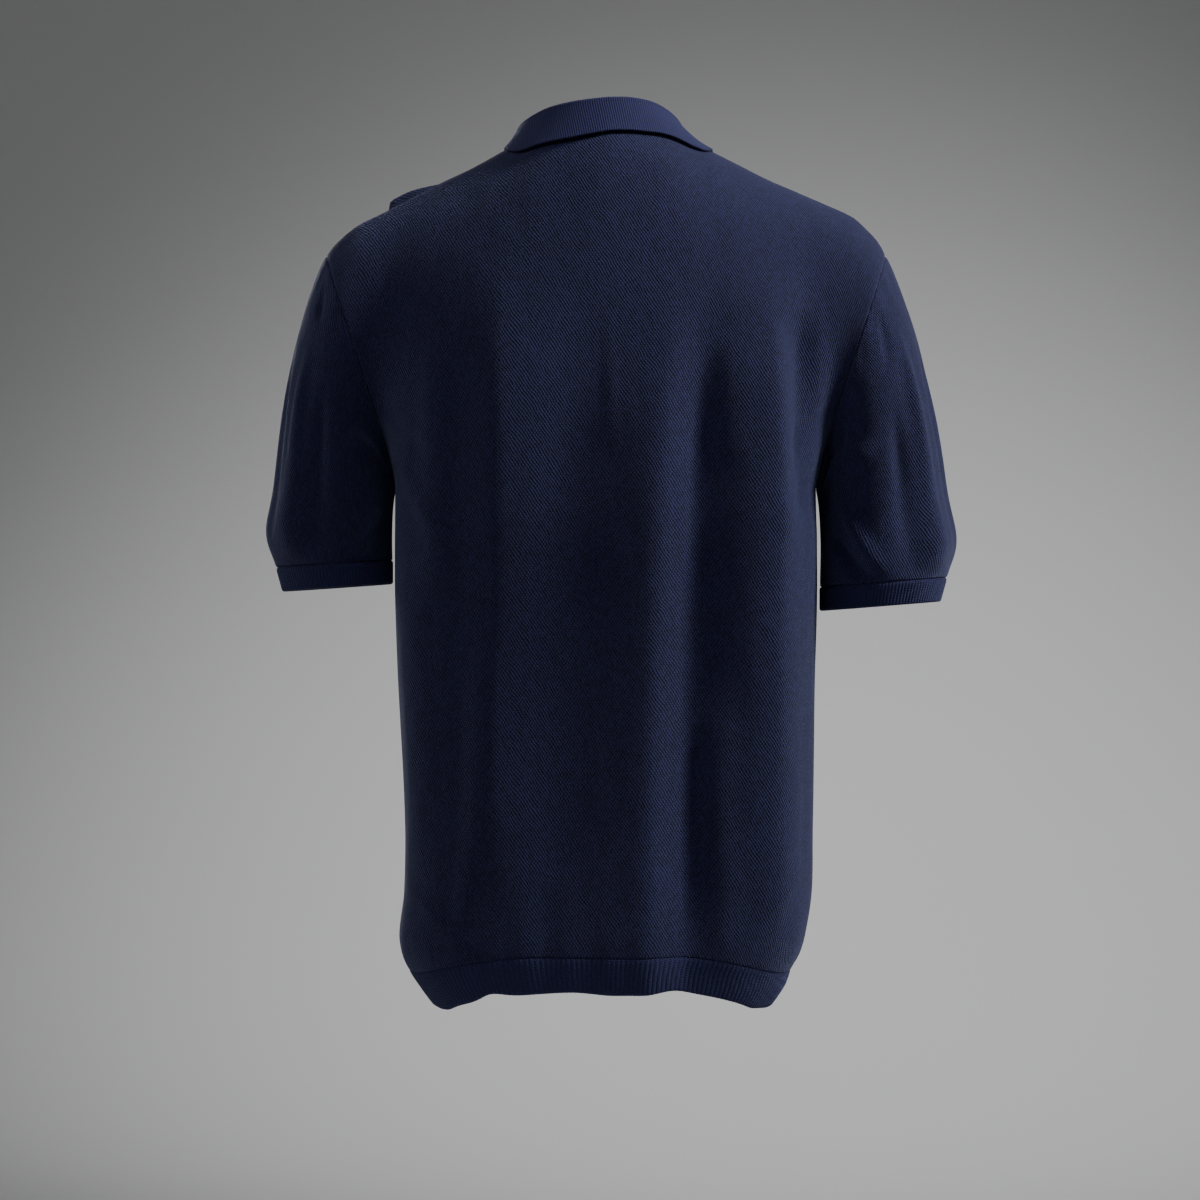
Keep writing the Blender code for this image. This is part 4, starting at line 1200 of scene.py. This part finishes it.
def rib_knit():
    """The yarn of the raised ribs: their stitches lie in slanting pairs."""
    material, shader, start = new_material("rib_knit")
    u, v, uv = flat_cloth(start)
    place = (u / RIB_PITCH).fraction() - 0.5
    slant = place.size() * 1.1
    stitch = 0.5 + 0.5 * ((v / RIB_STITCH + slant) * TURN).cosine()
    fluff = cloudy(start, uv, 2200.0, 2.0)
    uneven = cloudy(start, uv, 18.0)
    # Painted shade: the hollows between the rib's stitches are coloured darker, over the yarn's own uneven tone.
    painted_shade_and_tone = 0.62 + 0.25 * stitch + (uneven - 0.5) * 0.3 + (fluff - 0.5) * 0.25
    color = painted_shade_and_tone.between(0.0, 1.0).mix(RIB_PAINTED_SHADE, RIB_TOP)
    set_yarn(shader, start, color, 0.92 - 0.08 * stitch, 0.6 * stitch + 0.2 * fluff, 0.00045)
    return material


def collar_knit():
    """Close fine ribs across the collar and the placket, of fine slanting stitches."""
    material, shader, start = new_material("collar_knit")
    u, v, uv = flat_cloth(start)
    drift = (cloudy(start, uv, 40.0) - 0.5) * 0.5
    rib = 0.5 + 0.5 * ((u / FINE_RIB + drift) * TURN).cosine()
    stitch = 0.5 + 0.5 * ((v / (RIB_STITCH * 0.7) + rib * 0.4) * TURN).cosine()
    fluff = cloudy(start, uv, 2400.0, 2.0)
    uneven = cloudy(start, uv, 16.0)
    # Painted shade: the grooves between the fine ribs and between their stitches are coloured darker, over the
    # yarn's own uneven tone.
    painted_shade_and_tone = 0.35 + 0.40 * rib + 0.15 * stitch + (uneven - 0.5) * 0.25 + (fluff - 0.5) * 0.2
    color = painted_shade_and_tone.between(0.0, 1.0).mix(COLLAR_PAINTED_SHADE, COLLAR_TOP)
    set_yarn(shader, start, color, 0.90 - 0.08 * rib, 0.7 * rib + 0.25 * stitch + 0.1 * fluff, 0.0005)
    return material


def button_resin():
    """Polished dark resin with faint darker clouds."""
    material, shader, start = new_material("button_resin")
    place = start.node("ShaderNodeTexCoord", output=3)
    cloud = cloudy(start, place, 260.0, 4.0)
    color = cloud.between(0.45, 0.75).mix(BUTTON_DARK, BUTTON_VEIN)
    links = start.tree.links
    links.new(color.socket, shader.inputs["Base Color"])
    links.new((0.16 + 0.16 * cloud).socket, shader.inputs["Roughness"])
    shader.inputs["Coat Weight"].default_value = 0.4
    shader.inputs["Coat Roughness"].default_value = 0.08
    return material


def sewing_thread():
    material, shader, start = new_material("sewing_thread")
    place = start.node("ShaderNodeTexCoord", output=3)
    twist = start.node(
        "ShaderNodeTexWave", {"bands_direction": "DIAGONAL"}, {"Vector": place, "Scale": 900.0, "Distortion": 0.4}
    )
    # Painted shade: the grooves of the thread's twist are coloured darker.
    color = twist.mix(NAVY_PAINTED_SHADE, THREAD_NAVY)
    set_yarn(shader, start, color, 0.55 + 0.1 * twist, twist, 0.0001, sheen=0.1)
    return material


def studio_grey():
    material, shader, start = new_material("studio_grey")
    place = start.node("ShaderNodeTexCoord", output=3)
    cloud = cloudy(start, place, 0.7, 2.0)
    color = cloud.mix(tuple(c * 0.96 for c in STAGE_GREY[:3]) + (1,), STAGE_GREY)
    start.tree.links.new(color.socket, shader.inputs["Base Color"])
    shader.inputs["Roughness"].default_value = 0.9
    shader.inputs["Specular IOR Level"].default_value = 0.15
    return material


# ---------------------------------------------------------------- stage, lights and camera
PHOTO_PIXEL = 0.00082  # metres at the shirt
PHOTO_SIZE = 1200
CAMERA_FAR = 3.2
CAMERA_AT = Vector((0.0049, CAMERA_FAR, -0.369))
SENSOR = 36.0
FLOOR_Z = -1.50
COVE_FRONT, COVE_BACK, COVE_TOP, COVE_ROUND, COVE_HALF = 6.0, -6.5, 5.5, 2.2, 9.0
COVE_COLUMNS, COVE_ROWS = 8, 60

# The window lamps, their power in watts, and a round lamp on the backdrop.
Lamp = namedtuple("Lamp", "name place aim width height power")
LAMPS = (
    Lamp("key_right", (-1.85, 0.50, 1.20), (0, 0.1, -0.1), 0.5, 0.6, 74),
    Lamp("fill_top", (0.8, 1.3, 1.4), (0, 0, -0.1), 1.3, 0.8, 11),
    Lamp("rim_left", (2.8, -1.2, 0.8), (0, 0, -0.3), 0.8, 1.8, 7),
    Lamp("front_key", (0.9, -2.8, 0.2), (0, 0, -0.3), 0.9, 0.9, 46),
    Lamp("front_fill", (-1.4, -2.6, 0.0), (0, 0, -0.3), 1.4, 1.4, 9),
)
GLOW_PLACE, GLOW_AIM = (-0.6, -1.2, 3.2), (-0.5, -5.6, -1.3)
GLOW_POWER, GLOW_DEGREES, GLOW_SOFT = 1150, 50, 0.6
SKY, SKY_STRENGTH = (0.75, 0.77, 0.80, 1), 0.095


def make_stage():
    """A pale floor that sweeps up into a backdrop."""
    floor_run = COVE_FRONT - COVE_BACK - COVE_ROUND
    wall_run = COVE_TOP - FLOOR_Z - COVE_ROUND
    bend_run = math.pi / 2 * COVE_ROUND
    whole = floor_run + bend_run + wall_run

    def place(share, along):
        run = along * whole
        x = (share * 2 - 1) * COVE_HALF
        if run < floor_run:
            return Vector((x, COVE_FRONT - run, FLOOR_Z))
        if run < floor_run + bend_run:
            angle = (run - floor_run) / COVE_ROUND
            rise, back = COVE_ROUND * (1 - math.cos(angle)), COVE_ROUND * (1 - math.sin(angle))
            return Vector((x, COVE_BACK + back, FLOOR_Z + rise))
        return Vector((x, COVE_BACK, FLOOR_Z + COVE_ROUND + run - floor_run - bend_run))

    across = [i / COVE_COLUMNS for i in range(COVE_COLUMNS + 1)]
    along = [i / COVE_ROWS for i in range(COVE_ROWS + 1)]
    bm = cloth_sheet(across, along, place, mirrored=True)
    cove = finished("studio_cove", bm, studio_grey())


def add_lamp(data, place, aim):
    lamp = bpy.data.objects.new(data.name, data)
    lamp.location = place
    lamp.rotation_euler = (Vector(aim) - Vector(place)).to_track_quat("-Z", "Y").to_euler()
    bpy.context.scene.collection.objects.link(lamp)
    return lamp


def make_lights():
    for row in LAMPS:
        data = bpy.data.lights.new(row.name, "AREA")
        data.shape = "RECTANGLE"
        data.size, data.size_y = row.width, row.height
        data.energy = row.power
        add_lamp(data, row.place, row.aim).visible_camera = False
    glow = bpy.data.lights.new("backdrop_glow", "SPOT")
    glow.energy = GLOW_POWER
    glow.spot_size = math.radians(GLOW_DEGREES)
    glow.spot_blend = 1.0
    glow.shadow_soft_size = GLOW_SOFT
    add_lamp(glow, GLOW_PLACE, GLOW_AIM)
    world = bpy.data.worlds.new("studio")
    world.use_nodes = True
    back = world.node_tree.nodes["Background"]
    back.inputs["Color"].default_value = SKY
    back.inputs["Strength"].default_value = SKY_STRENGTH
    bpy.context.scene.world = world


def make_camera():
    data = bpy.data.cameras.new("photo_view")
    data.sensor_width = SENSOR
    data.lens = SENSOR * CAMERA_FAR / (PHOTO_SIZE * PHOTO_PIXEL)
    camera = bpy.data.objects.new("photo_view", data)
    camera.location = CAMERA_AT
    camera.rotation_euler = Vector((0, -1, 0)).to_track_quat("-Z", "Y").to_euler()
    bpy.context.scene.collection.objects.link(camera)
    bpy.context.scene.camera = camera


# ---------------------------------------------------------------- dressing the frame
# A record of a flat cut: width, length and area.
Cut = namedtuple("Cut", "width length area")


def dress(piece):
    """The piece stands for its solid, which is hidden, and moves with it."""
    solid = piece.name.removesuffix("_cloth")
    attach(piece, "root")
    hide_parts(solid)


def main():
    body, rib, fine = tuck_knit(), rib_knit(), collar_knit()
    resin, thread = button_resin(), sewing_thread()
    dress(make_panel("back_panel", BACK, body))
    dress(make_panel("front_panel", FRONT, body))
    dress(make_hem_rib("hem_rib_back", BACK, rib))
    dress(make_hem_rib("hem_rib_front", FRONT, rib))
    for row in SLEEVES:
        dress(make_sleeve(row, body))
        dress(make_cuff(row, rib))
    dress(make_collar(fine))
    dress(make_strip("placket_upper", UPPER_STRIP_OUT, CLOTH, fine))
    dress(make_strip("placket_under", UNDER_STRIP_OUT, UNDER_STRIP_WALL, fine))
    for button in BUTTONS:
        disc, cross = make_button(button, resin, thread)
        hole = make_buttonhole(button, thread)
        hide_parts(button.name)
        for piece, slot in ((disc, "button"), (cross, "collar_knit"), (hole, "collar_knit")):
            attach(piece, "root")
    make_stage()
    make_lights()
    make_camera()


main()
